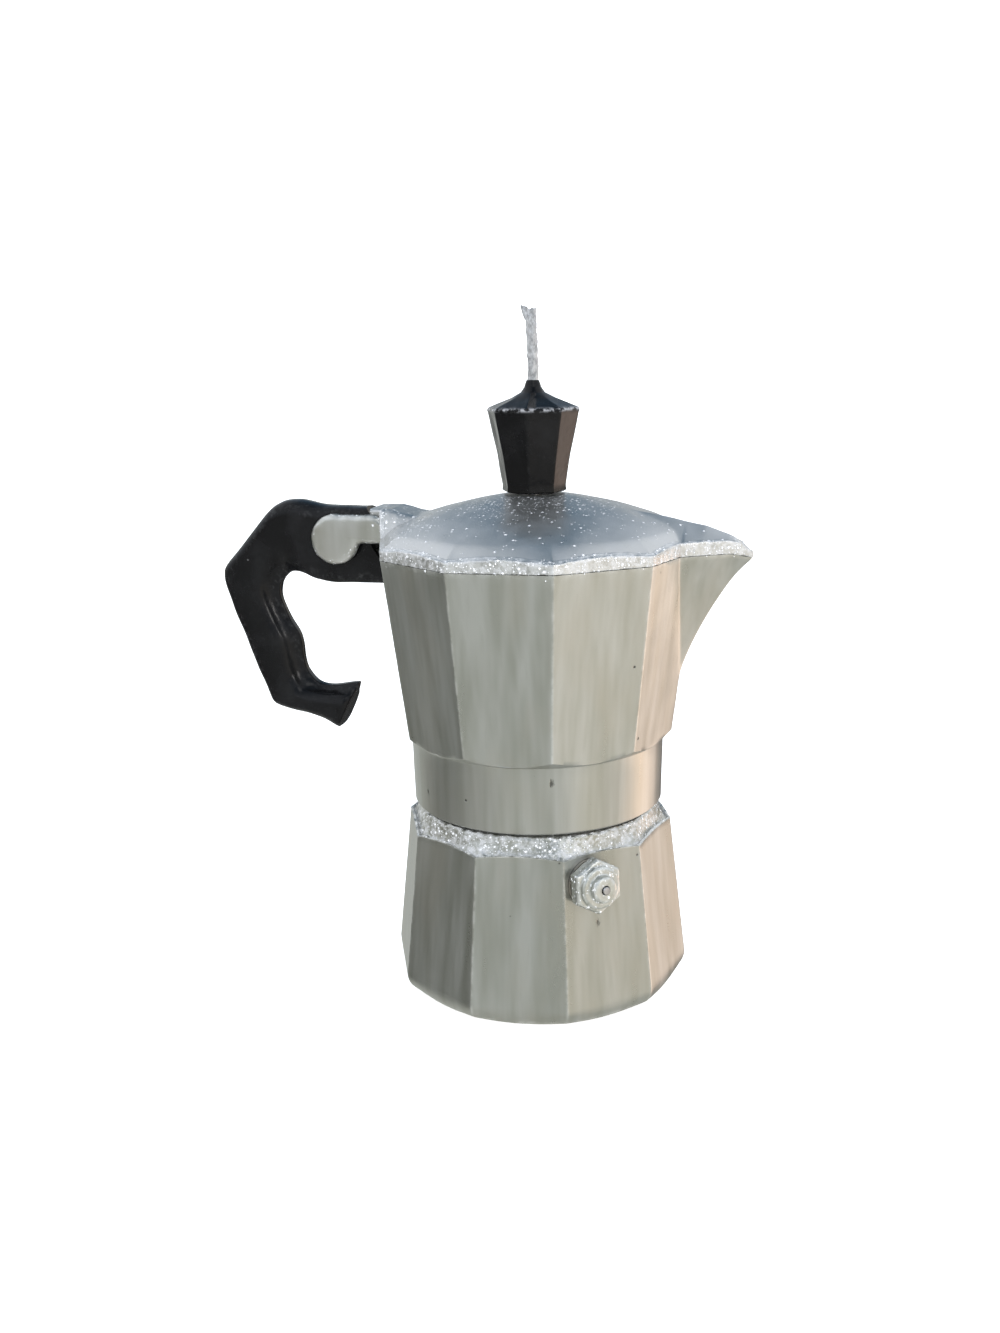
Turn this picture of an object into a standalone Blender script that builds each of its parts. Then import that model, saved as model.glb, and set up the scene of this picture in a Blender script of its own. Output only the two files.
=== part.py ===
"""Ten-sided stovetop coffee pot: boiler, funnel, screw-on collector, hinged lid, knob, handle and valve.

The frame: +Z is up, the origin is on the pot's axis where it stands, and +X points at the spout. The
spout and the handle grow out of two opposite corners of the collector. All sizes are in millimetres, and
MM turns them into Blender's metres.
"""

import math

import bmesh
import bpy
from mathutils import Matrix

MM = 0.001
GAP = 0.3

# The ten-sided bodies. A radius is measured to the corners.
SIDES = 10
HALF_SIDE = math.pi / SIDES
BOILER_TURN = math.radians(4.06)
BOILER_FOOT_R, BOILER_FOOT_Z = 32.5, 3.3
BOILER_RIM_R, BOILER_RIM_Z = 28.9, 35.4
BOILER_WALL = 2.3
BOILER_FLOOR = 2.6
SHOULDER_SLOPE = 1.25
NECK_R, NECK_BORE_R, NECK_FOOT_Z, NECK_TOP_Z = 22.9, 20.6, 39.4, 49.5

COLLAR_R, COLLAR_FOOT_Z = 26.9, 40.4
COLLAR_TOP_R, COLLAR_TOP_Z = 27.2, 54.5
COLLAR_BORE_R = 24.4
CEILING_Z, CHAMBER_FLOOR_Z = 54.8, 57.0
BODY_FOOT_R, BODY_FOOT_Z = 29.26, 56.1
BODY_RIM_R, BODY_RIM_Z = 34.07, 94.1
BODY_WALL = 2.4
COLUMN_FOOT_R, COLUMN_TOP_R, COLUMN_TOP_Z = 6.5, 4.2, 86.5
RISER_R, OUTLET_R, OUTLET_Z = 2.2, 1.5, 82.5

# The threads: ridges on the neck and in the collar, whose crests pass each other.
PITCH, THREAD_TURNS, THREAD_FOOT_Z, RIDGE = 2.5, 2.0, 42.6, 0.65

# The spout's front edge is FRONT_A * t + FRONT_B * t * t beyond the corner, t above its root.
SPOUT_ROOT_Z, SPOUT_HALF_W = 67.7, 8.43
SPOUT_ROOT_X, FRONT_A, FRONT_B = 30.7, 0.321, 0.0095
SPOUT_WALL = 1.6

# The lid. Its top falls from the flat under the knob as LID_FALL * s + LID_CURVE * s cubed.
LID_FOOT_Z, LID_TOP_Z, LID_FLAT_R = 94.4, 105.8, 6.0
LID_FALL, LID_CURVE, LID_WALL = 0.19, 0.00018, 1.8
BEAK_TIP_X = 45.8

# The hinge: a pin through both ears, the collector's lug and the handle's arm.
HINGE_X, HINGE_Z = -42.3, 96.2
EAR_IN, EAR_OUT, EAR_R = 4.5, 6.7, 5.4
EAR_NECK_Z, EAR_TOP_Z = 95.3, 101.6
PIN_R, PIN_HOLE_R = 1.2, 1.35
HUMP_REAR_X = -34.4
LUG_HALF, SLOT_HALF = 1.9, 2.2

HANDLE_HALF, HANDLE_ROUND = 4.2, 1.6
HANDLE_SCREW_X = -39.5

KNOB_SIDES, KNOB_TURN = 8, math.radians(3.4)
KNOB_FOOT_Z = LID_TOP_Z + GAP
WICK_R, WICK_FOOT_Z, WICK_TOP_Z = 1.15, 122.9, 143.0

VALVE_TURN = BOILER_TURN + HALF_SIDE - 2 * math.pi * 2 / SIDES
VALVE_Z = 30.0
VALVE_ALONG = -3.1
VALVE_LEAN = math.atan((BOILER_FOOT_R - BOILER_RIM_R) * math.cos(HALF_SIDE) / (BOILER_RIM_Z - BOILER_FOOT_Z))

ALUMINIUM = ("aluminium", (0.62, 0.61, 0.56), 0.9, 0.38)
BRIGHT = ("bright aluminium", (0.78, 0.78, 0.79), 0.95, 0.3)
BLACK = ("black plastic", (0.012, 0.012, 0.013), 0.0, 0.22)
BRASS = ("brass", (0.72, 0.55, 0.26), 1.0, 0.3)
STEEL = ("steel", (0.6, 0.6, 0.6), 1.0, 0.28)
RUBBER = ("white rubber", (0.78, 0.76, 0.7), 0.0, 0.6)
COPPER = ("copper", (0.72, 0.4, 0.26), 1.0, 0.35)
FIBRE = ("silvered cotton", (0.6, 0.6, 0.6), 0.3, 0.6)


# ---------------------------------------------------------------- scene and makers


def clear_scene():
    for obj in list(bpy.data.objects):
        bpy.data.objects.remove(obj, do_unlink=True)


def collection(name):
    made = bpy.data.collections.new(name)
    bpy.context.scene.collection.children.link(made)
    return made


def place(name, data, cutter=False):
    """An object in the pot's collection, or among the cutters, which are never rendered."""
    obj = bpy.data.objects.new(name, data)
    (CUTTERS if cutter else PARTS).objects.link(obj)
    obj.hide_render = cutter
    if cutter:
        obj.display_type = "WIRE"
    return obj


def from_bmesh(name, bm, cutter=False):
    bmesh.ops.scale(bm, vec=(MM, MM, MM), verts=bm.verts)
    mesh = bpy.data.meshes.new(name)
    bm.to_mesh(mesh)
    bm.free()
    return place(name, mesh, cutter)


def turned(name, profile, steps=48, ring=False, cutter=False):
    """A profile of (radius, height) points, run down its outer side, turned about Z by a Screw modifier."""
    bm = bmesh.new()
    points = [bm.verts.new((r, 0, z)) for r, z in profile]
    for start, end in zip(points, points[1:] + (points[:1] if ring else [])):
        bm.edges.new((start, end))
    obj = from_bmesh(name, bm, cutter)
    screw = obj.modifiers.new("turn", "SCREW")
    screw.steps = screw.render_steps = steps
    screw.use_merge_vertices = True
    screw.merge_threshold = 0.00001
    screw.use_smooth_shade = False
    return obj


def cylinder(name, radius, low, high, segments=24, matrix=None, cutter=True):
    """A cylinder along its own Z from low to high, placed by matrix."""
    bm = bmesh.new()
    bmesh.ops.create_cone(
        bm,
        cap_ends=True,
        segments=segments,
        radius1=radius,
        radius2=radius,
        depth=high - low,
        matrix=Matrix.Translation((0, 0, (low + high) / 2)),
    )
    obj = from_bmesh(name, bm, cutter)
    obj.matrix_world = matrix or Matrix()
    return obj


def lofted(name, rings, cutter=False):
    """A closed skin over rings with the same number of points, with a flat cap on each end."""
    bm = bmesh.new()
    rows = [[bm.verts.new(point) for point in ring] for ring in rings]
    for row, following in zip(rows, rows[1:]):
        for i, vert in enumerate(row):
            j = (i + 1) % len(row)
            bm.faces.new((vert, row[j], following[j], following[i]))
    bm.faces.new(rows[0][::-1])
    bm.faces.new(rows[-1])
    bmesh.ops.recalc_face_normals(bm, faces=bm.faces)
    return from_bmesh(name, bm, cutter)


def as_mesh(curve_object, name, cutter=False):
    """The curve's evaluated mesh as an object of its own, with its caps welded to its sides."""
    bpy.context.view_layer.update()
    graph = bpy.context.evaluated_depsgraph_get()
    mesh = bpy.data.meshes.new_from_object(curve_object.evaluated_get(graph))
    mesh.name = name
    bm = bmesh.new()
    bm.from_mesh(mesh)
    bmesh.ops.remove_doubles(bm, verts=bm.verts, dist=0.000002)
    bmesh.ops.recalc_face_normals(bm, faces=bm.faces)
    bm.to_mesh(mesh)
    bm.free()
    matrix = curve_object.matrix_world.copy()
    bpy.data.objects.remove(curve_object, do_unlink=True)
    obj = place(name, mesh, cutter)
    obj.matrix_world = matrix
    return obj


def side_plate(name, outline, low, high, rounding=0.0, resolution=1, cutter=False):
    """A flat outline of (x, z, handle) points in the XZ plane, filled from y = low to y = high."""
    curve = bpy.data.curves.new(name, "CURVE")
    curve.dimensions = "2D"
    curve.fill_mode = "BOTH"
    curve.extrude = ((high - low) / 2 - rounding) * MM
    curve.bevel_depth = rounding * MM
    curve.bevel_resolution = 2
    curve.offset = -rounding * MM
    curve.resolution_u = resolution
    spline = curve.splines.new("BEZIER")
    spline.bezier_points.add(len(outline) - 1)
    spline.use_cyclic_u = True
    for point, (x, z, handle) in zip(spline.bezier_points, outline):
        point.co = (x * MM, z * MM, 0)
        point.handle_left_type = point.handle_right_type = handle
    flat = place(name + "_outline", curve)
    flat.matrix_world = Matrix.Translation((0, (low + high) / 2 * MM, 0)) @ Matrix.Rotation(math.pi / 2, 4, "X")
    return as_mesh(flat, name, cutter)


def straight(points):
    """An outline of straight sides for side_plate."""
    return [(x, z, "VECTOR") for x, z in points]


def wire(name, points, radius, resolution=0, cutter=False):
    """A round wire along points."""
    curve = bpy.data.curves.new(name, "CURVE")
    curve.dimensions = "3D"
    curve.bevel_depth = radius * MM
    curve.bevel_resolution = resolution
    curve.use_fill_caps = True
    spline = curve.splines.new("POLY")
    spline.points.add(len(points) - 1)
    for point, (x, y, z) in zip(spline.points, points):
        point.co = (x * MM, y * MM, z * MM, 1)
    return as_mesh(place(name + "_path", curve), name, cutter)


def helix(radius, pitch, turns, foot, per_turn=24):
    """Points that climb by pitch in each turn about Z."""
    steps = int(turns * per_turn)
    angles = [2 * math.pi * i / per_turn for i in range(steps + 1)]
    return [(radius * math.cos(a), radius * math.sin(a), foot + pitch * a / (2 * math.pi)) for a in angles]


def combine(target, tool, operation):
    """UNION, DIFFERENCE or INTERSECT of target with tool, which must be a cutter."""
    modifier = target.modifiers.new(operation.lower() + " " + tool.name, "BOOLEAN")
    modifier.operation = operation
    modifier.object = tool
    return target


def finish(obj, material, smooth=False):
    """Gives the piece its material, and shades a round one smooth."""
    name, colour, metallic, roughness = material
    made = bpy.data.materials.get(name) or bpy.data.materials.new(name)
    made.use_nodes = True
    shader = made.node_tree.nodes["Principled BSDF"]
    shader.inputs["Base Color"].default_value = (*colour, 1)
    shader.inputs["Metallic"].default_value = metallic
    shader.inputs["Roughness"].default_value = roughness
    made.diffuse_color = (*colour, 1)
    obj.data.materials.append(made)
    if smooth and obj.data.polygons:
        obj.data.shade_smooth()
        obj.data.set_sharp_from_angle(angle=math.radians(35))
    for modifier in obj.modifiers:
        if modifier.type == "SCREW":
            modifier.use_smooth_shade = smooth
    return obj


def joint_axis(name, location, pieces):
    """An empty on a joint's axis that carries the pieces moving with it."""
    empty = bpy.data.objects.new(name, None)
    empty.location = [value * MM for value in location]
    PARTS.objects.link(empty)
    for piece in pieces:
        piece.parent = empty
        piece.matrix_parent_inverse = Matrix.Translation(empty.location).inverted()
    return empty


# ---------------------------------------------------------------- shared shapes


def body_radius(z):
    """The collector's corner radius at height z."""
    rise = (z - BODY_FOOT_Z) / (BODY_RIM_Z - BODY_FOOT_Z)
    return BODY_FOOT_R + (BODY_RIM_R - BODY_FOOT_R) * rise


def side_factor(angle):
    """A ten-sided outline's radius at an angle, as a share of its corner radius."""
    return math.cos(HALF_SIDE) / math.cos(angle % (2 * HALF_SIDE) - HALF_SIDE)


def lid_height(radius):
    """The height of the lid's upper face at a distance from the axis."""
    beyond = max(0.0, radius - LID_FLAT_R)
    return LID_TOP_Z - LID_FALL * beyond - LID_CURVE * beyond**3


def spout_section(z, inset=0.0, depth=1.5):
    """A triangle at height z: the spout's front edge, and two points a little inside the corner's sides."""
    t = z - SPOUT_ROOT_Z
    half = SPOUT_HALF_W * max(t, 0.0) / (BODY_RIM_Z - SPOUT_ROOT_Z)
    front = SPOUT_ROOT_X + FRONT_A * t + FRONT_B * t * t
    root = body_radius(z) - half * math.tan(HALF_SIDE)
    slope = min(3.0, half / max(front - root, 0.01)) if half else 3.0
    apex = front - inset / math.sin(math.atan(slope))
    base = root - depth
    width = (apex - base) * slope
    return [(apex, 0, z), (base, width, z), (base, -width, z)]


def hex_grid_holes(name, radius, pitch, hole_r, low, high):
    """One cutter of six-sided pins on a hexagonal grid inside a circle."""
    bm = bmesh.new()
    rows = int(radius / (pitch * 0.866))
    for row in range(-rows, rows + 1):
        for column in range(-rows - 1, rows + 2):
            x = pitch * (column + 0.5 * (row % 2))
            y = pitch * 0.866 * row
            if math.hypot(x, y) <= radius:
                bmesh.ops.create_cone(
                    bm,
                    cap_ends=True,
                    segments=6,
                    radius1=hole_r,
                    radius2=hole_r,
                    depth=high - low,
                    matrix=Matrix.Translation((x, y, (low + high) / 2)),
                )
    return from_bmesh(name, bm, cutter=True)


def valve_matrix():
    """Puts +Z along the valve's outward axis, with the origin on the boiler's side face."""
    rise = (VALVE_Z - BOILER_FOOT_Z) / (BOILER_RIM_Z - BOILER_FOOT_Z)
    face = (BOILER_FOOT_R + (BOILER_RIM_R - BOILER_FOOT_R) * rise) * math.cos(HALF_SIDE)
    return (
        Matrix.Rotation(VALVE_TURN, 4, "Z")
        @ Matrix.Translation((face * MM, VALVE_ALONG * MM, VALVE_Z * MM))
        @ Matrix.Rotation(math.pi / 2 - VALVE_LEAN, 4, "Y")
    )


# ---------------------------------------------------------------- boiler and valve


def make_boiler():
    """The water pot: ten flat sides cut by a coned shoulder, a threaded neck and a round cavity."""
    side_slope = (BOILER_FOOT_R - BOILER_RIM_R) / (BOILER_RIM_Z - BOILER_FOOT_Z)
    tall_r = BOILER_RIM_R - side_slope * (NECK_TOP_Z + 1 - BOILER_RIM_Z)
    sides = [
        (0, NECK_TOP_Z + 1),
        (tall_r, NECK_TOP_Z + 1),
        (BOILER_FOOT_R, BOILER_FOOT_Z),
        (BOILER_FOOT_R - 0.9, 1.2),
        (BOILER_FOOT_R - 3.1, 0),
        (0, 0),
    ]
    boiler = turned("boiler", sides, SIDES)
    boiler.rotation_euler.z = BOILER_TURN
    shoulder_r = BOILER_RIM_R - (NECK_FOOT_Z - BOILER_RIM_Z) / SHOULDER_SLOPE
    wide = BOILER_FOOT_R + 4
    round_form = [
        (0, NECK_TOP_Z),
        (NECK_R - GAP, NECK_TOP_Z),
        (NECK_R, NECK_TOP_Z - GAP),
        (NECK_R, NECK_FOOT_Z),
        (shoulder_r, NECK_FOOT_Z),
        (wide, BOILER_RIM_Z - SHOULDER_SLOPE * (wide - BOILER_RIM_R)),
        (wide, -1),
        (0, -1),
    ]
    combine(boiler, turned("boiler_shoulder", round_form, 60, cutter=True), "INTERSECT")
    ridge = wire("neck_thread", helix(NECK_R + 0.05, PITCH, THREAD_TURNS, THREAD_FOOT_Z), RIDGE, cutter=True)
    combine(boiler, ridge, "UNION")
    inner = math.cos(HALF_SIDE)
    cavity = [
        (0, NECK_TOP_Z + 1),
        (NECK_BORE_R, NECK_TOP_Z + 1),
        (NECK_BORE_R, NECK_FOOT_Z - 0.8),
        (BOILER_RIM_R * inner - BOILER_WALL, BOILER_RIM_Z),
        (BOILER_FOOT_R * inner - BOILER_WALL, 2 * BOILER_FLOOR + 1),
        (BOILER_FOOT_R * inner - 2 * BOILER_WALL, BOILER_FLOOR),
        (0, BOILER_FLOOR),
    ]
    combine(boiler, turned("boiler_cavity", cavity, 40, cutter=True), "DIFFERENCE")
    hole = cylinder("valve_hole", 3.9, -8, 4, 20, valve_matrix())
    combine(boiler, hole, "DIFFERENCE")
    return finish(boiler, ALUMINIUM)


def make_valve():
    """The safety valve: a stepped hexagonal body, its washer, and a stem held in by a spring."""
    matrix = valve_matrix()
    body = cylinder("valve_body", 5.85, 0.9, 3.7, 6, matrix, cutter=False)
    steps = [(0, 6.3), (2.5, 6.3), (2.7, 6.1), (2.7, 4.7), (4.0, 4.7), (4.3, 4.4), (4.3, 3.0), (3.6, 2.8)]
    shank = turned("valve_shank", steps + [(3.6, -6.5), (0, -6.5)], 20, cutter=True)
    bore = turned("valve_bore", [(0, 7), (1.15, 7), (1.15, 4.4), (2.3, 4.4), (2.3, -7), (0, -7)], 20, cutter=True)
    for tool in (shank, bore):
        tool.matrix_world = matrix
    combine(body, shank, "UNION")
    combine(body, bore, "DIFFERENCE")
    washer = turned("valve_washer", [(5.1, 0.7), (5.1, 0.15), (4.0, 0.15), (4.0, 0.7)], 24, ring=True)
    stem = turned("valve_stem", [(0, 6.8), (0.7, 6.7), (0.8, 6.5), (0.8, -4.1), (1.9, -4.1), (1.9, -5.0), (0, -5.0)], 16)
    spring = wire("valve_spring", helix(1.5, 0.95, 7, -2.75, 12), 0.22)
    retainer = turned("valve_retainer", [(2.08, -5.3), (2.08, -6.4), (1.2, -6.4), (1.2, -5.3)], 20, ring=True)
    for piece in (washer, stem, spring, retainer):
        piece.matrix_world = matrix
    finish(body, BRIGHT)
    finish(washer, COPPER)
    finish(stem, BRASS, smooth=True)
    finish(spring, STEEL, smooth=True)
    finish(retainer, BRASS)


# ---------------------------------------------------------------- funnel and seal


def make_funnel():
    """The coffee funnel: a flanged basket that hangs in the neck, and a tube that reaches into the water."""
    profile = [
        (22.6, 50.6),
        (22.6, 49.8),
        (20.0, 49.8),
        (19.6, 49.4),
        (19.6, 37.2),
        (3.6, 28.5),
        (3.6, 4.0),
        (2.8, 4.0),
        (2.8, 28.9),
        (18.8, 37.8),
        (18.8, 50.6),
    ]
    funnel = turned("funnel", profile, 40, ring=True)
    sieve = cylinder("funnel_sieve", 18.4, 38.2, 39.0, 40, cutter=False)
    combine(sieve, hex_grid_holes("sieve_holes", 16.5, 5.2, 0.9, 37, 40), "DIFFERENCE")
    return [finish(funnel, ALUMINIUM), finish(sieve, BRIGHT)]


def make_seal():
    """The rubber ring that the collar presses on the neck, and the perforated plate that it holds."""
    gasket = turned("gasket", [(23.3, 53.4), (23.6, 52.2), (23.3, 50.9), (17.2, 50.9), (17.2, 53.4)], 40, ring=True)
    plate = cylinder("filter_plate", 20.5, 53.7, 54.5, 40, cutter=False)
    combine(plate, hex_grid_holes("plate_holes", 16.0, 4.4, 0.8, 52, 56), "DIFFERENCE")
    return [finish(gasket, RUBBER, smooth=True), finish(plate, BRIGHT)]


# ---------------------------------------------------------------- collector


def make_collector():
    """The upper pot: ten sides that widen upward, a threaded collar, a riser column, a spout and a lug."""
    sides = [(0, BODY_RIM_Z), (BODY_RIM_R, BODY_RIM_Z), (BODY_FOOT_R, BODY_FOOT_Z), (BODY_FOOT_R, 40), (0, 40)]
    collector = turned("collector", sides, SIDES)
    slope = (BODY_FOOT_Z - COLLAR_TOP_Z) / (BODY_FOOT_R - COLLAR_TOP_R)
    wide = BODY_RIM_R + 6
    round_form = [
        (0, BODY_RIM_Z + 2),
        (wide, BODY_RIM_Z + 2),
        (wide, COLLAR_TOP_Z + slope * (wide - COLLAR_TOP_R)),
        (COLLAR_TOP_R, COLLAR_TOP_Z),
        (COLLAR_R, COLLAR_FOOT_Z + 0.5),
        (COLLAR_R - GAP, COLLAR_FOOT_Z),
        (0, COLLAR_FOOT_Z),
    ]
    combine(collector, turned("collar_form", round_form, 60, cutter=True), "INTERSECT")

    heights = [SPOUT_ROOT_Z - 1.2 + (BODY_RIM_Z - SPOUT_ROOT_Z + 1.2) * i / 9 for i in range(10)]
    spout = lofted("spout_form", [spout_section(z) for z in heights], cutter=True)
    combine(collector, spout, "UNION")
    lug_outline = [
        (-31.6, 88.0),
        (-32.3, 94.0),
        (-34.9, 94.0),
        (-35.2, 97.0),
        (-38.5, 100.2),
        (-46.2, 100.2),
        (-46.2, 91.0),
        (-36.8, 91.0),
        (-34.9, 88.0),
    ]
    combine(collector, side_plate("lug_form", straight(lug_outline), -LUG_HALF, LUG_HALF, cutter=True), "UNION")

    inset = BODY_WALL / math.cos(HALF_SIDE)
    chamber = [(0, 97), (body_radius(97) - inset, 97), (body_radius(57) - inset, CHAMBER_FLOOR_Z), (0, CHAMBER_FLOOR_Z)]
    combine(collector, turned("chamber", chamber, SIDES, cutter=True), "DIFFERENCE")
    channel_heights = [SPOUT_ROOT_Z + 7 + 22 * i / 6 for i in range(7)]
    channel = lofted("spout_channel", [spout_section(z, SPOUT_WALL, 4.0) for z in channel_heights], cutter=True)
    combine(collector, channel, "DIFFERENCE")
    bore = [(0, CEILING_Z), (COLLAR_BORE_R, CEILING_Z), (COLLAR_BORE_R, 39), (0, 39)]
    combine(collector, turned("collar_bore", bore, 48, cutter=True), "DIFFERENCE")
    ridge = wire("collar_thread", helix(COLLAR_BORE_R + 0.1, PITCH, THREAD_TURNS, THREAD_FOOT_Z), RIDGE, cutter=True)
    combine(collector, ridge, "UNION")

    column = [(0, COLUMN_TOP_Z), (COLUMN_TOP_R - 0.8, COLUMN_TOP_Z), (COLUMN_TOP_R, COLUMN_TOP_Z - 1)]
    column += [(COLUMN_FOOT_R, CHAMBER_FLOOR_Z - 1), (0, CHAMBER_FLOOR_Z - 1)]
    combine(collector, turned("riser_column", column, 24, cutter=True), "UNION")
    riser = [(0, OUTLET_Z + 2), (RISER_R, OUTLET_Z + 2), (RISER_R + 0.4, 60), (7.5, CEILING_Z - 0.5), (0, CEILING_Z - 0.5)]
    combine(collector, turned("riser_bore", riser, 24, cutter=True), "DIFFERENCE")
    across = Matrix.Translation((0, 0, OUTLET_Z * MM)) @ Matrix.Rotation(math.pi / 2, 4, "X")
    combine(collector, cylinder("outlets", OUTLET_R, -9, 9, 12, across), "DIFFERENCE")
    combine(collector, pin_hole("lug_pin_hole"), "DIFFERENCE")
    screw_hole = cylinder("lug_screw_hole", 1.25, 90, 94.2, 12, Matrix.Translation((HANDLE_SCREW_X * MM, 0, 0)))
    combine(collector, screw_hole, "DIFFERENCE")
    return finish(collector, ALUMINIUM)


def pin_matrix():
    return Matrix.Translation((HINGE_X * MM, 0, HINGE_Z * MM)) @ Matrix.Rotation(math.pi / 2, 4, "X")


def pin_hole(name):
    return cylinder(name, PIN_HOLE_R, -12, 12, 16, pin_matrix())


# ---------------------------------------------------------------- lid


def lid_rings(shares, foot, inset=0.0, drop=0.0, points=40):
    """Rings from the ten-sided rim to the round top. A ring at a share of the radius is partly rounded."""
    rings = []
    for share, height in [(1.0, foot)] + [(s, None) for s in shares]:
        ring = []
        for i in range(points):
            angle = 2 * math.pi * i / points
            radius = (BODY_RIM_R - inset) * share * (1 - (1 - side_factor(angle)) * share**4)
            z = lid_height((BODY_RIM_R - 0.5) * share) - drop if height is None else height
            ring.append((radius * math.cos(angle), radius * math.sin(angle), z))
        rings.append(ring)
    return rings


def beak_rings(inset=0.0, foot=LID_FOOT_Z):
    """Five-sided sections from inside the dome to the tip: a ridge, two slopes and two short upright sides."""
    rings = []
    root = BODY_RIM_R - SPOUT_HALF_W * math.tan(HALF_SIDE)
    for x, ridge in ((18.0, 102.8), (24.0, 102.2), (root, 100.6), (35.5, 99.7), (41.3, 97.6), (43.6, 96.1), (BEAK_TIP_X, 94.9)):
        reach = min(1.0, (BEAK_TIP_X + 0.4 - x) / (BEAK_TIP_X + 0.4 - root))
        half = max(0.2, SPOUT_HALF_W * reach - 1.3 * inset)
        top = ridge - inset
        side = min(96.7, ridge - 0.2) if x >= root else ridge - 0.46 * SPOUT_HALF_W
        side = max(foot + 0.1, side - inset)
        rings.append([(x, 0, top), (x, half, side), (x, half, foot), (x, -half, foot), (x, -half, side)])
    return rings


def make_lid():
    """The hinged lid: a dome on a ten-sided rim, with a beak over the spout, a rear hump and two ears."""
    shares = (1.0, 0.93, 0.82, 0.68, 0.52, 0.36, LID_FLAT_R / BODY_RIM_R)
    lid = lofted("lid", lid_rings(shares, LID_FOOT_Z))
    combine(lid, lofted("beak_form", beak_rings(), cutter=True), "UNION")
    hump_rings = []
    for x, top in ((-21.0, 100.6), (-25.0, 101.3), (-30.5, 102.7), (-33.4, 102.7), (HUMP_REAR_X, 101.6)):
        section = ((EAR_OUT, EAR_NECK_Z), (EAR_OUT, top - 1.4), (EAR_OUT - 1.6, top))
        left = [(x, y, z) for y, z in section]
        right = [(x, -y, z) for y, z in section[::-1]]
        hump_rings.append(left + right)
    combine(lid, lofted("hump_form", hump_rings, cutter=True), "UNION")
    neck = straight([(-31.5, EAR_NECK_Z), (-31.5, EAR_TOP_Z), (HINGE_X, EAR_TOP_Z), (HINGE_X, EAR_NECK_Z)])
    for side, low, high in (("left", EAR_IN, EAR_OUT), ("right", -EAR_OUT, -EAR_IN)):
        combine(lid, side_plate(side + "_ear_neck", neck, low, high, cutter=True), "UNION")
        combine(lid, cylinder(side + "_ear_boss", EAR_R, -high, -low, 28, pin_matrix()), "UNION")

    hollow_shares = (1.0, 0.93, 0.82, 0.68, 0.52, 0.36, 0.14)
    hollow = lofted("lid_hollow", lid_rings(hollow_shares, 93.0, inset=1.9, drop=LID_WALL), cutter=True)
    combine(lid, hollow, "DIFFERENCE")
    combine(lid, lofted("beak_hollow", beak_rings(1.5, 93.0)[:-2], cutter=True), "DIFFERENCE")
    combine(lid, cylinder("lid_screw_hole", 1.75, 100, 108, 16), "DIFFERENCE")
    combine(lid, pin_hole("ear_pin_holes"), "DIFFERENCE")
    return finish(lid, ALUMINIUM)


def make_knob():
    """The eight-sided knob, moulded round a brass insert, and the screw that holds it through the lid."""
    flare = [(0, 129.0), (1.75, 129.0), (2.3, 127.2), (4.4, 125.2), (9.0, 122.9), (9.3, 122.3), (7.35, 113.5)]
    knob = turned("knob", flare + [(6.1, KNOB_FOOT_Z + 0.8), (5.8, KNOB_FOOT_Z), (0, KNOB_FOOT_Z)], KNOB_SIDES)
    knob.rotation_euler.z = KNOB_TURN
    combine(knob, cylinder("wick_hole", WICK_R + GAP, WICK_FOOT_Z - GAP, 131, 16), "DIFFERENCE")
    combine(knob, cylinder("insert_pocket", 2.7, 104, 113.6, 16), "DIFFERENCE")
    insert = turned("knob_insert", [(2.4, 113.0), (2.4, 106.4), (1.7, 106.4), (1.7, 113.0)], 16, ring=True)
    screw = [(0, 112.0), (1.2, 112.0), (1.4, 111.6), (1.4, 102.6), (2.9, 102.6), (2.6, 101.6), (1.6, 101.2), (0, 101.2)]
    screw = turned("knob_screw", screw, 20)
    washer = turned("knob_washer", [(3.5, 103.6), (3.5, 102.9), (1.7, 102.9), (1.7, 103.6)], 20, ring=True)
    bend = (WICK_TOP_Z - WICK_FOOT_Z) / 10
    lean = [0, 0, 0, 0, 0, 0, 0, 0.05, 0.1, -0.1, -0.75]
    path = [(offset, 0, WICK_FOOT_Z + bend * i) for i, offset in enumerate(lean)]
    wick = wire("wick", path, WICK_R, 2)
    finish(knob, BLACK)
    finish(insert, BRASS)
    finish(screw, STEEL, smooth=True)
    finish(washer, STEEL)
    finish(wick, FIBRE, smooth=True)
    return [knob, insert, screw, washer, wick]


# ---------------------------------------------------------------- handle


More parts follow.
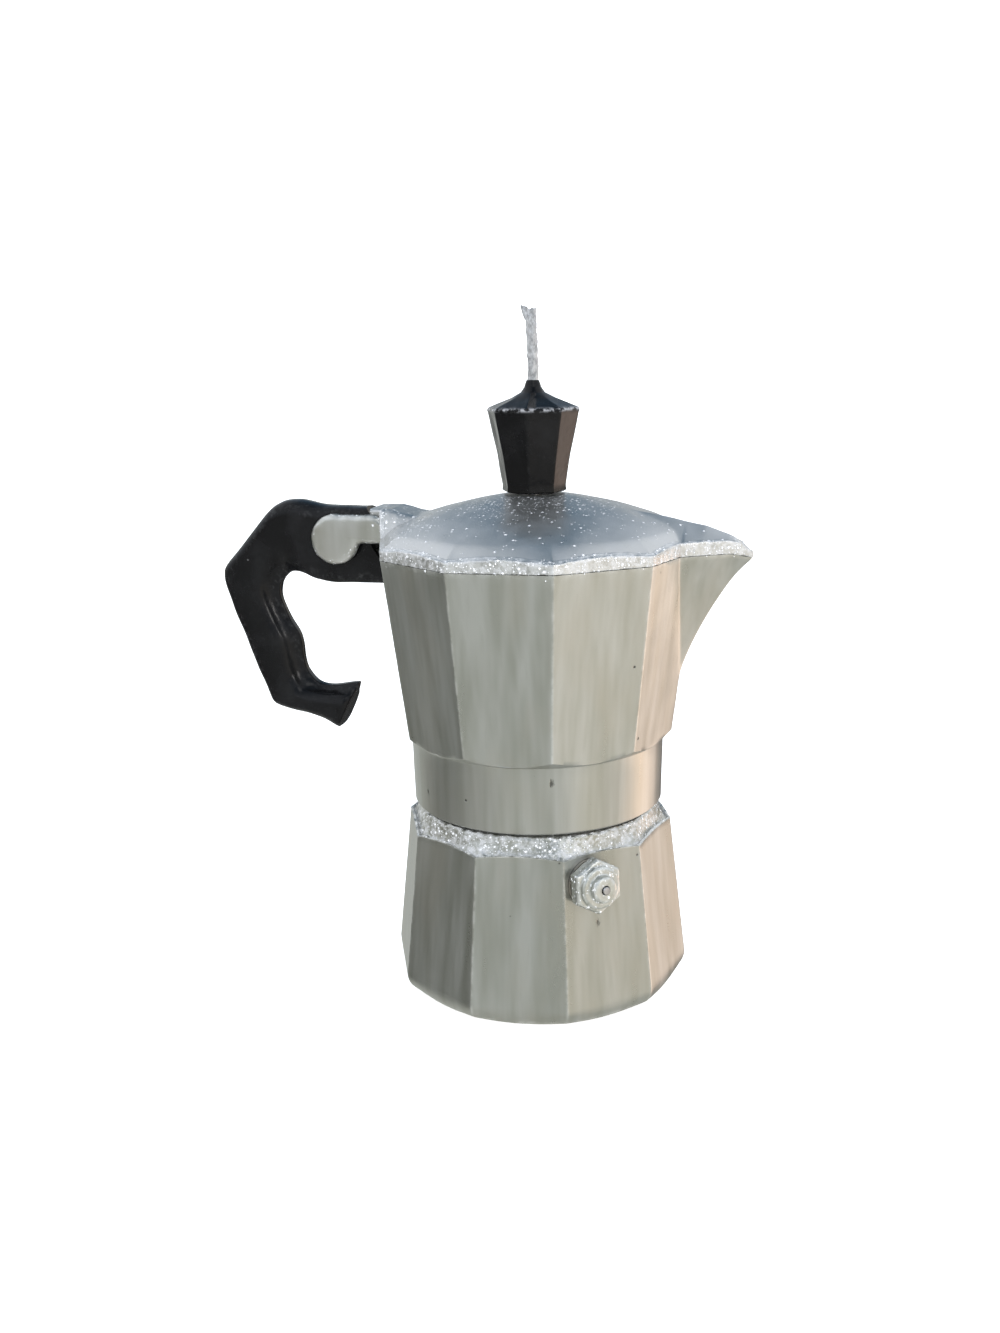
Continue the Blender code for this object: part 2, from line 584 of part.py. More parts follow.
def make_handle():
    """The black handle: an arm that boxes in the collector's lug, a kneed grip and a hooked toe."""
    reach = HINGE_X + 7.5
    outline = [
        (-30.0, 86.3, "VECTOR"),
        (-30.0, 93.9, "VECTOR"),
        (reach, 93.9, "VECTOR"),
        (reach, HINGE_Z, "VECTOR"),
        (-35.6, 99.6, "AUTO"),
        (-38.0, 102.6, "VECTOR"),
        (-46.2, 103.0, "AUTO"),
        (-51.5, 104.0, "AUTO"),
        (-56.0, 103.5, "AUTO"),
        (-58.9, 101.8, "AUTO"),
        (-66.0, 93.8, "VECTOR"),
        (-70.1, 88.9, "AUTO"),
        (-70.5, 85.6, "AUTO"),
        (-68.9, 80.6, "VECTOR"),
        (-61.0, 59.2, "VECTOR"),
        (-59.4, 57.8, "AUTO"),
        (-54.8, 56.6, "AUTO"),
        (-48.9, 55.1, "AUTO"),
        (-45.1, 53.1, "VECTOR"),
        (-42.9, 55.6, "AUTO"),
        (-40.9, 59.8, "AUTO"),
        (-40.3, 63.5, "VECTOR"),
        (-44.7, 62.8, "AUTO"),
        (-48.5, 62.9, "AUTO"),
        (-52.2, 65.8, "AUTO"),
        (-53.3, 71.9, "AUTO"),
        (-55.6, 77.2, "AUTO"),
        (-57.8, 83.0, "AUTO"),
        (-56.4, 87.2, "AUTO"),
        (-52.8, 88.2, "AUTO"),
        (-48.0, 86.8, "AUTO"),
        (-44.0, 86.3, "VECTOR"),
    ]
    handle = side_plate("handle", outline, -HANDLE_HALF, HANDLE_HALF, HANDLE_ROUND, resolution=4)
    clear_rim, clear_foot = body_radius(BODY_RIM_Z) + GAP, body_radius(80) + GAP
    clearance = [(0, 110), (clear_rim, 110), (clear_rim, BODY_RIM_Z), (clear_foot, 80), (0, 80)]
    combine(handle, turned("collector_clearance", clearance, SIDES, cutter=True), "DIFFERENCE")
    slot = [
        (-30.0, 87.6),
        (-30.0, 97.2),
        (-34.9, 97.3),
        (-38.4, 100.6),
        (-46.6, 100.6),
        (-46.6, 90.7),
        (-37.1, 90.7),
        (-35.2, 87.6),
    ]
    combine(handle, side_plate("lug_slot", straight(slot), -SLOT_HALF, SLOT_HALF, cutter=True), "DIFFERENCE")
    combine(handle, pin_hole("arm_pin_hole"), "DIFFERENCE")
    below = Matrix.Translation((HANDLE_SCREW_X * MM, 0, 0))
    recess = turned("screw_recess", [(0, 92), (1.6, 92), (1.6, 88.4), (3.0, 88.4), (3.0, 84), (0, 84)], 20, cutter=True)
    recess.matrix_world = below
    combine(handle, recess, "DIFFERENCE")
    screw = turned("handle_screw", [(0, 93.8), (1.0, 93.8), (1.0, 88.1), (2.6, 88.1), (2.3, 87.1), (1.4, 86.7), (0, 86.7)], 20)
    screw.matrix_world = below
    pin = cylinder("hinge_pin", PIN_R, -EAR_OUT, EAR_OUT, 16, pin_matrix(), cutter=False)
    finish(handle, BLACK, smooth=True)
    finish(screw, STEEL, smooth=True)
    finish(pin, STEEL)
    return [handle, screw, pin]


clear_scene()
PARTS = collection("stovetop_coffee_pot")
CUTTERS = collection("cutters")
make_boiler()
make_valve()
funnel_parts = make_funnel()
seal_parts = make_seal()
collector_parts = [make_collector(), *make_handle()]
lid_parts = [make_lid(), *make_knob()]
joint_axis("pot_axis", (0, 0, 0), funnel_parts + seal_parts + collector_parts)
joint_axis("hinge_axis", (HINGE_X, 0, HINGE_Z), lid_parts)
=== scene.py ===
"""The finished look of a ten-sided stovetop coffee pot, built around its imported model.

The sections follow the pot as it is put together, from the boiler up. Lengths are in millimetres inside
each section, and grid_skin turns them into metres.
"""

import math

import bpy
import numpy as np
from mathutils import Matrix


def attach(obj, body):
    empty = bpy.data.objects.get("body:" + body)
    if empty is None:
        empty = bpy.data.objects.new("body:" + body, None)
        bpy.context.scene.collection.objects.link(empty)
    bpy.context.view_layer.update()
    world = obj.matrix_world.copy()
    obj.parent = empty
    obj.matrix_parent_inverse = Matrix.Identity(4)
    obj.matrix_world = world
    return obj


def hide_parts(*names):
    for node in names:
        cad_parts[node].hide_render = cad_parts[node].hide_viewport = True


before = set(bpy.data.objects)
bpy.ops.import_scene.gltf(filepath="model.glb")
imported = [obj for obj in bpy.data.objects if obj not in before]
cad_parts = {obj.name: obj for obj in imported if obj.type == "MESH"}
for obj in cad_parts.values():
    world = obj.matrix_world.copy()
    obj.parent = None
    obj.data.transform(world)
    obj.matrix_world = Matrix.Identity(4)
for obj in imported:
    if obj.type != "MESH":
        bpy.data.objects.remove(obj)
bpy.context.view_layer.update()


# ---------------------------------------------------------------- camera
# A hand-held view from a little above the lid, with the spout at the right and slightly towards the lens.

CAMERA_PLACE = (0.0579, -0.2622, 0.1355)
CAMERA_FORWARD = (-0.2368, 0.9411, -0.2415)
CAMERA_ROLL = -0.0203
CAMERA_LENS = 34.8


def placed(name, data):
    """A new object that holds data, linked to the scene."""
    obj = bpy.data.objects.new(name, data)
    bpy.context.scene.collection.objects.link(obj)
    return obj


def look_along(forward, roll):
    """A turn whose -Z is forward and whose +X is level, then rolled: right = cos r * right + sin r * up."""
    ahead = np.array(forward) / np.linalg.norm(forward)
    right = np.cross(ahead, (0, 0, 1))
    right /= np.linalg.norm(right)
    up = np.cross(right, ahead)
    turned_right = math.cos(roll) * right + math.sin(roll) * up
    turned_up = math.cos(roll) * up - math.sin(roll) * right
    return Matrix(np.column_stack([turned_right, turned_up, -ahead]).tolist()).to_4x4()


camera_data = bpy.data.cameras.new("camera")
camera_data.lens = CAMERA_LENS
camera_data.clip_start = 0.01
camera = placed("camera", camera_data)
camera.matrix_world = Matrix.Translation(CAMERA_PLACE) @ look_along(CAMERA_FORWARD, CAMERA_ROLL)
bpy.context.scene.camera = camera


# ---------------------------------------------------------------- boiler
# The lower pot is one aluminium casting, machined at the neck. Its ten sides are cut by a coned shoulder,
# so the rim rises and falls from corner to corner. The shoulder keeps the casting's hammered skin.

SIDES = 10
HALF_SIDE = math.pi / SIDES
BOILER_TURN = math.radians(4.06)
FOOT_R, FOOT_Z = 32.5, 3.3
RIM_R, RIM_Z = 28.9, 35.1
NECK_R, NECK_FOOT_Z, NECK_TOP_Z = 22.9, 39.4, 49.5
SHOULDER_SLOPE = 0.4
SHOULDER_TOP_R = 25.7
UNDERSIDE_R, EDGE_ROUND = 28.6, 4.2
SIDE_SHARPNESS = 600
THREAD_FOOT_Z, THREAD_TURNS = 42.6, 2.0


def once_round(columns):
    """Evenly spaced angles once round the axis."""
    return np.arange(columns) * 2 * math.pi / columns


def many_sided(angle, sides, sharpness):
    """A regular outline with softened corners, as a share of its corner radius.

    Each side k is a flat at unit apothem, whose polar radius is 1 / cos(angle - k). The sum of the cosines
    to a high power, then its root, takes the nearest side and rounds off where two sides meet.
    """
    centres = (np.arange(sides) + 0.5) * 2 * math.pi / sides
    facing = np.clip(np.cos(angle[..., None] - centres), 0, None)
    return math.cos(math.pi / sides) / (facing**sharpness).sum(-1) ** (1 / sharpness)


def corner_mark(angle, sides, width):
    """1 on a corner of a regular outline, falling to 0 at width, an angle, to either side of it."""
    period = 2 * math.pi / sides
    away = np.abs((angle + period / 2) % period - period / 2)
    return np.exp(-((away / width) ** 2))


def smooth_step(value, low, high):
    """0 below low, 1 above high and an even S between them."""
    t = np.clip((value - low) / (high - low), 0, 1)
    return t * t * (3 - 2 * t)


def lumps(points, size, seed, waves=9):
    """Smooth unevenness from -1 to 1: a sum of sine waves about size long in random fixed directions."""
    rng = np.random.default_rng(seed)
    directions = rng.normal(size=(waves, 3))
    directions /= np.linalg.norm(directions, axis=1, keepdims=True)
    lengths = size * rng.uniform(0.7, 1.5, waves)
    phases = rng.uniform(0, 2 * math.pi, waves)
    total = np.zeros(points.shape[:-1])
    for direction, length, phase in zip(directions, lengths, phases):
        total += np.sin(points @ direction * 2 * math.pi / length + phase)
    return total / math.sqrt(waves) / 1.6


def grid_skin(name, grid, marks=None, loop=False, flip=False, sharp=None):
    """A closed skin over grid[row, column], in millimetres, whose columns run once round.

    With loop, the last row joins the first. Otherwise each end row is closed by a fan to its middle.
    marks holds named values on the same rows and columns, kept as attributes for the materials.
    """
    rows, columns = grid.shape[:2]
    steps = rows if loop else rows - 1
    row, column = np.meshgrid(np.arange(steps), np.arange(columns), indexing="ij")
    above, beside = (row + 1) % rows, (column + 1) % columns
    lower, upper = row * columns, above * columns
    quads = np.stack([lower + column, lower + beside, upper + beside, upper + column], -1)
    faces = quads.reshape(-1, 4).tolist()
    points = grid.reshape(-1, 3)
    if not loop:
        ends = [rows * columns, rows * columns + 1]
        points = np.concatenate([points, grid[0].mean(0)[None], grid[-1].mean(0)[None]])
        for i in range(columns):
            j = (i + 1) % columns
            faces.append([ends[0], j, i])
            faces.append([ends[1], (rows - 1) * columns + i, (rows - 1) * columns + j])
    if flip:
        faces = [face[::-1] for face in faces]
    mesh = bpy.data.meshes.new(name)
    mesh.from_pydata((points / 1000).tolist(), [], faces)
    for mark, values in (marks or {}).items():
        values = np.broadcast_to(values, (rows, columns)).reshape(-1)
        if not loop:
            values = np.concatenate([values, [values[:columns].mean(), values[-columns:].mean()]])
        mesh.attributes.new(mark, "FLOAT", "POINT").data.foreach_set("value", values.astype(np.float32))
    mesh.shade_smooth()
    if sharp:
        mesh.set_sharp_from_angle(angle=math.radians(sharp))
    return placed(name, mesh)


def stretch(start, end, count, last=False):
    """count shares from start to end in every column, leaving out the end unless last is set."""
    shares = np.linspace(0, 1, count, endpoint=last)[:, None]
    return np.asarray(start) * (1 - shares) + np.asarray(end) * shares


def run(stations, angle):
    """Radius and height rows along stations of (radius, height, rows to the next one), for every angle."""
    even = np.ones_like(angle)
    radii, heights = [], []
    for (r0, z0, count), (r1, z1, _) in zip(stations, stations[1:]):
        radii.append(stretch(r0 * even, r1 * even, count))
        heights.append(stretch(z0 * even, z1 * even, count))
    radii.append((stations[-1][0] * even)[None])
    heights.append((stations[-1][1] * even)[None])
    return np.concatenate(radii), np.concatenate(heights)


def polar(radius, height, angle):
    """Points at a radius, an angle about the pot's axis and a height."""
    return np.stack([radius * np.cos(angle), radius * np.sin(angle), height * np.ones_like(radius)], -1)


def thread_ridge(angle, height, foot, turns, pitch=2.5, ridge=0.62):
    """A rounded helical ridge: it stands up where the height is the angle's place on the helix."""
    climb = (height - foot) / pitch - (angle % (2 * math.pi)) / (2 * math.pi)
    near = np.abs(climb - np.round(climb)) * pitch
    top = foot + turns * pitch
    lead_in = smooth_step(height, foot - 0.2, foot + 0.8) * (1 - smooth_step(height, top, top + 1))
    return ridge * (1 - smooth_step(near, 0.15, 0.75)) * lead_in


def node(tree, kind, inputs=None, **settings):
    """A shader node with its settings and its inputs, where an input may be another node's output."""
    made = tree.nodes.new(kind)
    for name, value in settings.items():
        setattr(made, name, value)
    for name, value in (inputs or {}).items():
        if isinstance(value, bpy.types.NodeSocket):
            tree.links.new(value, made.inputs[name])
        else:
            made.inputs[name].default_value = value
    return made


def fresh_material(name):
    """A new material with its tree and its Principled shader."""
    material = bpy.data.materials.new(name)
    material.use_nodes = True
    return material, material.node_tree, material.node_tree.nodes["Principled BSDF"]


def object_noise(tree, stretch_by, scale, detail=3.0, rough=0.55):
    """Noise on object coordinates, stretched by a factor along each axis."""
    place = node(tree, "ShaderNodeTexCoord").outputs["Object"]
    mapped = node(tree, "ShaderNodeMapping", {"Vector": place, "Scale": stretch_by})
    inputs = {"Vector": mapped.outputs["Vector"], "Scale": scale, "Detail": detail, "Roughness": rough}
    return node(tree, "ShaderNodeTexNoise", inputs).outputs["Fac"]


def between(tree, value, low, high, to_low=0.0, to_high=1.0):
    """value, remapped from low..high to to_low..to_high and held there."""
    made = node(
        tree,
        "ShaderNodeMapRange",
        {"Value": value, "From Min": low, "From Max": high, "To Min": to_low, "To Max": to_high},
    )
    return made.outputs["Result"]


def maths(tree, operation, first, second):
    """One Math node of two values."""
    return node(tree, "ShaderNodeMath", {0: first, 1: second}, operation=operation).outputs[0]


def times(tree, first, second):
    """One value times another."""
    return maths(tree, "MULTIPLY", first, second)


def blended(tree, factor, first, second):
    """Two colours mixed by a factor."""
    made = node(tree, "ShaderNodeMix", {"Factor": factor, "A": first, "B": second}, data_type="RGBA")
    return made.outputs[2]


def specks(tree, scale, size, share):
    """1 inside scattered round dots: near a Voronoi cell's point, in a share of cells picked by chance."""
    place = node(tree, "ShaderNodeTexCoord").outputs["Object"]
    cells = node(tree, "ShaderNodeTexVoronoi", {"Vector": place, "Scale": scale})
    chance = node(tree, "ShaderNodeSeparateColor", {"Color": cells.outputs["Color"]}).outputs["Red"]
    picked = maths(tree, "LESS_THAN", chance, share)
    dot = between(tree, cells.outputs["Distance"], size * 0.5, size, 1.0, 0.0)
    return times(tree, dot, picked)


def bumped(tree, shader, height, strength, distance):
    """Gives a shader the relief of a height value, where a height of 1 stands for distance, in metres."""
    bump = node(tree, "ShaderNodeBump", {"Height": height, "Strength": strength, "Distance": distance})
    tree.links.new(bump.outputs["Normal"], shader.inputs["Normal"])


def silver_skin(name, tone=(0.45, 0.45, 0.41), frost=1.0, streaks=1.0, blots=()):
    """Satin cast aluminium: upright streaks, soft stains, pinholes, pale edges, frosty patches and painted
    glint dots.

    The corner attribute marks edges that are lightened, partly by rubbing and partly as a painted highlight.
    The frost attribute marks where the skin is hammered and frosty, such as the shoulder, the lid's rim and
    round the knob. It also sets how densely white dots are strewn there, and these dots are a painted glint
    highlight.
    streaks scales the streaks and stains. blots are the places, in metres, of small dark marks, stretched
    upright.
    """
    material, tree, shader = fresh_material(name)
    corner = node(tree, "ShaderNodeAttribute", attribute_name="corner").outputs["Fac"]
    frost_and_highlight_mask = node(tree, "ShaderNodeAttribute", attribute_name="frost").outputs["Fac"]
    wide_streaks = object_noise(tree, (1, 1, 0.07), 260, 2.0)
    fine_streaks = object_noise(tree, (1, 1, 0.03), 1100, 3.0)
    stains = object_noise(tree, (1, 1, 0.45), 75, 4.0)
    grain = object_noise(tree, (1, 1, 1), 2600, 2.0)

    light = tuple(min(1.0, c * 1.1) for c in tone) + (1,)
    dark = tuple(c * f for c, f in zip(tone, (0.84, 0.84, 0.8))) + (1,)
    streaked = between(tree, wide_streaks, 0.35, 0.65, 0.5 - 0.5 * streaks, 0.5 + 0.5 * streaks)
    colour = blended(tree, streaked, dark, light)
    warm = (tone[0] * 1.02, tone[1] * 0.96, tone[2] * 0.88, 1)
    colour = blended(tree, between(tree, stains, 0.5, 0.72, 0.0, 0.45 * streaks), colour, warm)
    colour = blended(tree, between(tree, fine_streaks, 0.55, 0.8, 0.0, 0.35 * streaks), colour, dark)

    pinholes = specks(tree, 210, 0.075, 0.12)
    for blot in blots:
        place = node(tree, "ShaderNodeTexCoord").outputs["Object"]
        offset = node(tree, "ShaderNodeVectorMath", {0: place, 1: blot}, operation="SUBTRACT").outputs[0]
        stretched_offset = {0: offset, 1: (1, 1, 0.5)}
        stretched_offset = node(tree, "ShaderNodeVectorMath", stretched_offset, operation="MULTIPLY").outputs[0]
        reach = node(tree, "ShaderNodeVectorMath", {0: stretched_offset}, operation="LENGTH").outputs["Value"]
        waver = between(tree, object_noise(tree, (1, 1, 0.4), 1500), 0.3, 0.7, -0.0003, 0.0003)
        ragged = maths(tree, "ADD", reach, waver)
        pinholes = maths(tree, "MAXIMUM", pinholes, between(tree, ragged, 0.0002, 0.0005, 0.9, 0.0))
    colour = blended(tree, times(tree, pinholes, 0.85), colour, (0.05, 0.05, 0.045, 1))
    # Edges in the corner mark turn pale grey: partly wear from rubbing, partly a painted highlight.
    breakup = between(tree, object_noise(tree, (1, 1, 1), 420, 4.0, 0.7), 0.4, 0.62)
    rubbed_and_highlit = times(tree, corner, breakup)
    colour = blended(tree, times(tree, rubbed_and_highlit, 0.45), colour, (0.86, 0.86, 0.84, 1))
    # White dots in the base colour, glossier and less metallic: a painted glint highlight, densest where the
    # frost mark is high.
    painted_glint_share = between(tree, frost_and_highlight_mask, 0.0, 0.5, 0.0, 0.45)
    large, small = (specks(tree, scale, 0.36, painted_glint_share) for scale in (1050, 2100))
    painted_glints = maths(tree, "MAXIMUM", large, small)
    patchy = between(tree, object_noise(tree, (1, 1, 1), 900, 3.0), 0.42, 0.62)
    frosty = times(tree, between(tree, frost_and_highlight_mask, 0.45, 0.9), patchy)
    colour = blended(tree, times(tree, frosty, 0.7 * frost), colour, (0.7, 0.7, 0.71, 1))
    colour = blended(tree, painted_glints, colour, (0.97, 0.97, 0.98, 1))
    tree.links.new(colour, shader.inputs["Base Color"])

    roughness = between(tree, wide_streaks, 0.3, 0.7, 0.24, 0.34)
    roughness = maths(tree, "ADD", roughness, times(tree, grain, 0.08))
    roughness = maths(tree, "SUBTRACT", roughness, times(tree, painted_glints, 0.2))
    tree.links.new(roughness, shader.inputs["Roughness"])
    paler = maths(tree, "MAXIMUM", painted_glints, times(tree, rubbed_and_highlit, 0.35))
    paler = maths(tree, "MAXIMUM", paler, times(tree, frosty, 0.45 * frost))
    tree.links.new(between(tree, paler, 0.0, 1.0, 0.9, 0.15), shader.inputs["Metallic"])

    height = times(tree, fine_streaks, 0.12)
    height = maths(tree, "ADD", height, times(tree, grain, 0.1))
    dimples = object_noise(tree, (1, 1, 1), 1300, 3.0, 0.6)
    hammered = times(tree, dimples, times(tree, frost_and_highlight_mask, 1.6))
    height = maths(tree, "ADD", height, hammered)
    height = maths(tree, "ADD", height, painted_glints)
    height = maths(tree, "SUBTRACT", height, times(tree, pinholes, 1.4))
    bumped(tree, shader, height, 0.55, 0.00012)
    return material


def side_angles(per_side, at_spout=0):
    """Angles once round that start each of the ten sides on its corner.

    Within a side they crowd towards both corners, share - sin(2 pi share) / 10. With at_spout, the two
    sides that meet at angle 0 take that many angles each, crowded towards 0 as share to the power 1.5.
    """
    share = np.arange(per_side) / per_side
    sides = [share - 0.1 * np.sin(2 * math.pi * share)] * SIDES
    if at_spout:
        share = np.arange(at_spout) / at_spout
        sides[0] = share**1.5
        sides[-1] = 1 - (1 - share) ** 1.5
    return np.concatenate([(k + side) * 2 * HALF_SIDE for k, side in enumerate(sides)])


def boiler_grid(per_side=50):
    """Rows up the outside, over the neck and down the cavity. Each side is a flat that leans in as it rises.

    The rim's height is where the flat, r = outline * (base - lean * z), meets the shoulder's cone,
    z = RIM_Z - slope * (r - RIM_R). The edge below turns through a quarter circle, and the shoulder climbs
    to the neck as the power 1.45 of the way in.
    """
    angle = side_angles(per_side)
    outline = many_sided(angle, SIDES, SIDE_SHARPNESS)
    lean = (FOOT_R - RIM_R) / (RIM_Z - FOOT_Z)
    base = FOOT_R + lean * FOOT_Z
    cone_top = RIM_Z + SHOULDER_SLOPE * RIM_R
    rim_z = (cone_top - SHOULDER_SLOPE * outline * base) / (1 - SHOULDER_SLOPE * outline * lean)
    rim_r = outline * (base - lean * rim_z)

    round_share = math.cos(HALF_SIDE / 2)
    under_r, under_z = run([(1.0, 0.0, 4), (27.5, 0.0, 3), (UNDERSIDE_R, 0.0, 1)], angle)
    turn = np.linspace(0, math.pi / 2, 10)[1:, None]
    edge_side = outline * (base - lean * EDGE_ROUND)
    edge_r = UNDERSIDE_R + (edge_side - UNDERSIDE_R) * np.sin(turn)
    edge_z = EDGE_ROUND * (1 - np.cos(turn)) + 0 * angle
    edge_r = edge_r * (1 - 0.35 * (1 - np.sin(turn)) * (outline / round_share - 1))
    side_z = EDGE_ROUND + (rim_z - EDGE_ROUND) * np.linspace(0, 1, 30)[1:, None]
    side_r = outline * (base - lean * side_z)
    lip = np.array([[0.08, 0.3], [-0.35, 0.42], [-0.75, 0.12]])
    lip_r, lip_z = rim_r + lip[:, :1], rim_z + lip[:, 1:]
    shoulder_r = stretch(lip_r[-1], SHOULDER_TOP_R, 18)[1:]
    climb = (np.arange(1, 18) / 18)[:, None]
    shoulder_z = lip_z[-1] + (NECK_FOOT_Z - 0.1 - lip_z[-1]) * climb**1.45
    neck = [(SHOULDER_TOP_R - 0.3, NECK_FOOT_Z, 4), (NECK_R + 0.3, NECK_FOOT_Z, 1)]
    neck += [(NECK_R, NECK_FOOT_Z + 0.3, 58)]
    neck += [(NECK_R, 49.1, 2), (NECK_R - 0.35, NECK_TOP_Z, 3), (20.95, NECK_TOP_Z, 2), (20.6, 49.2, 6)]
    neck += [(20.6, 38.6, 5), (25.0, 35.4, 8), (28.4, 6.5, 3), (27.7, 4.0, 3), (26.0, 2.6, 6), (1.0, 2.6, 1)]
    neck_r, neck_z = run(neck, angle)
    outer_wall = (neck_r > NECK_R - 0.1) & (neck_z > 40)
    neck_r = neck_r + thread_ridge(angle, neck_z, THREAD_FOOT_Z, THREAD_TURNS) * outer_wall

    radius = np.concatenate([under_r, edge_r, side_r, lip_r, shoulder_r, neck_r])
    height = np.concatenate([under_z, edge_z, side_z, lip_z, shoulder_z, neck_z])
    rows = np.arange(len(radius))[:, None]
    first_lip = len(under_r) + len(edge_r) + len(side_r)
    first_neck = first_lip + len(lip_r) + len(shoulder_r)
    sides = (rows >= len(under_r)) & (rows < first_lip)
    shoulder = (rows >= first_lip + 1) & (rows < first_neck + 3)
    points = polar(radius, height, angle + BOILER_TURN)
    rough = shoulder * lumps(points, 2.3, 11) + 0.6 * shoulder * lumps(points, 1.1, 12)
    points[..., 2] += 0.15 * rough
    points[..., :2] *= (1 + sides * 0.0016 * lumps(points * (1, 1, 0.3), 17, 13))[..., None]
    # A pale line along the rim's lip: partly wear, partly a painted highlight.
    rim_wear_and_highlight = np.exp(-(((rows - first_lip - 0.7) / 0.8) ** 2))
    corners = np.maximum(0.6 * sides * corner_mark(angle, SIDES, 0.01), 2.5 * rim_wear_and_highlight)
    foot_mark = (rows >= len(under_r)) & (rows < len(under_r) + 4)
    return points, {"corner": np.maximum(corners, 0.55 * foot_mark), "frost": shoulder * 1.0}


boiler = grid_skin("boiler_casting", *boiler_grid(), sharp=32)
# The blot is a small dark mark just below the safety valve.
boiler_silver = silver_skin("boiler_silver", (0.45, 0.455, 0.43), blots=[(0.0171, -0.02345, 0.0216)])
boiler.data.materials.append(boiler_silver)
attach(boiler, "boiler")
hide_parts("boiler")


# ---------------------------------------------------------------- safety valve
# A turned body with a six-sided flange, screwed through the boiler's side on a tinned washer. A stem with
# a sprung head closes it from inside, and a pressed ring keeps the spring in.

VALVE_TURN = BOILER_TURN - 3 * HALF_SIDE
VALVE_Z = 30.0
VALVE_ALONG = -3.1
VALVE_LEAN = math.atan((FOOT_R - RIM_R) * math.cos(HALF_SIDE) / (RIM_Z - FOOT_Z))


def on_valve_axis(points):
    """Points whose z runs out along the valve's axis from the boiler's side, turned and moved into place."""
    face = (FOOT_R - (FOOT_R - RIM_R) * (VALVE_Z - FOOT_Z) / (RIM_Z - FOOT_Z)) * math.cos(HALF_SIDE)
    tilt = Matrix.Rotation(VALVE_TURN, 3, "Z") @ Matrix.Rotation(math.pi / 2 - VALVE_LEAN, 3, "Y")
    outward = np.array([math.cos(VALVE_TURN), math.sin(VALVE_TURN), 0])
    along = np.array([-math.sin(VALVE_TURN), math.cos(VALVE_TURN), 0])
    centre = face * outward + VALVE_ALONG * along + (0, 0, VALVE_Z)
    return points @ np.array(tilt).T + centre


def valve_grid(columns=144):
    """A turned outline whose flange rows follow a six-sided outline instead of a circle."""
    angle = once_round(columns)
    hexagon = many_sided(angle, 6, 120)
    stations = [(2.3, 4.4, 5), (2.3, -6.4, 1), (2.4, -6.5, 2), (3.5, -6.5, 1), (3.6, -6.4, 6), (3.6, 0.9, 3)]
    flange = [(5.35, 0.9, 2), (5.75, 1.25, 3), (5.8, 3.1, 3), (5.45, 3.6, 2), (5.0, 3.72, 3)]
    boss = [(4.45, 3.75, 2), (4.3, 3.9, 2), (4.25, 4.4, 2), (3.9, 4.7, 3), (2.95, 4.75, 2), (2.75, 4.9, 3)]
    tip = [(2.7, 5.9, 2), (2.45, 6.2, 2), (1.7, 6.35, 3), (1.0, 6.3, 1), (0.92, 6.2, 3), (0.92, 4.4, 1)]
    radius, height = run(stations + flange + boss + tip, angle)
    on_flange = smooth_step(radius, 4.4, 5.2)
    radius = radius * (1 + on_flange * (hexagon - 1))
    points = polar(radius, height, angle)
    points += (0.05 * lumps(points, 1.6, 21))[..., None] * (height > 0.8)[..., None]
    # Rings at the flange's top edge, the boss and the tip are lightened: partly wear, partly a painted
    # highlight on the chamfers.
    rubbed_and_highlit = np.exp(-(((height - 3.55) / 0.25) ** 2)) * on_flange + np.exp(-(((height - 6.15) / 0.2) ** 2))
    rubbed_and_highlit += np.exp(-(((height - 4.55) / 0.2) ** 2)) * (height > 4)
    return on_valve_axis(points), {"corner": np.clip(rubbed_and_highlit, 0, 1), "frost": 0.35 * (height > 0.8)}


valve = grid_skin("valve_flange", *valve_grid(), loop=True, sharp=40)
valve.data.materials.append(silver_skin("valve_silver", (0.56, 0.57, 0.55), 0.8))
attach(valve, "boiler")
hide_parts("valve_body")


def plain_metal(name, colour, roughness, scale=900.0, stretch_by=(1, 1, 0.15), dents=0.25):
    """Bare metal with fine machining lines, a little tarnish and uneven gloss."""
    material, tree, shader = fresh_material(name)
    lines = object_noise(tree, stretch_by, scale, 3.0)
    tarnish = object_noise(tree, (1, 1, 1), 160, 4.0)
    dull = tuple(c * 0.62 for c in colour) + (1,)
    tinted = blended(tree, between(tree, tarnish, 0.42, 0.7), colour + (1,), dull)
    tree.links.new(tinted, shader.inputs["Base Color"])
    gloss = between(tree, lines, 0.3, 0.7, roughness * 0.8, roughness * 1.35)
    tree.links.new(gloss, shader.inputs["Roughness"])
    shader.inputs["Metallic"].default_value = 1.0
    bumped(tree, shader, lines, dents, 0.00006)
    return material


def dress(material, *names):
    """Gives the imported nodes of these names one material."""
    for name in names:
        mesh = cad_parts[name].data
        mesh.materials.clear()
        mesh.materials.append(material)


dress(plain_metal("tinned_copper", (0.55, 0.51, 0.47), 0.34), "valve_washer")
dress(plain_metal("turned_brass", (0.74, 0.55, 0.25), 0.28), "valve_retainer", "knob_insert")
dress(plain_metal("spring_steel", (0.58, 0.58, 0.6), 0.3), "valve_spring", "valve_stem")


# ---------------------------------------------------------------- funnel and sieve
# The funnel is spun from thin sheet: a basket for the coffee, hung by its flange on the neck, and a tube
# down into the water. Its sieve is a pressed disc.

rolled_sheet = plain_metal("rolled_sheet", (0.7, 0.7, 0.69), 0.3, 1400.0, (1, 1, 0.08), 0.3)


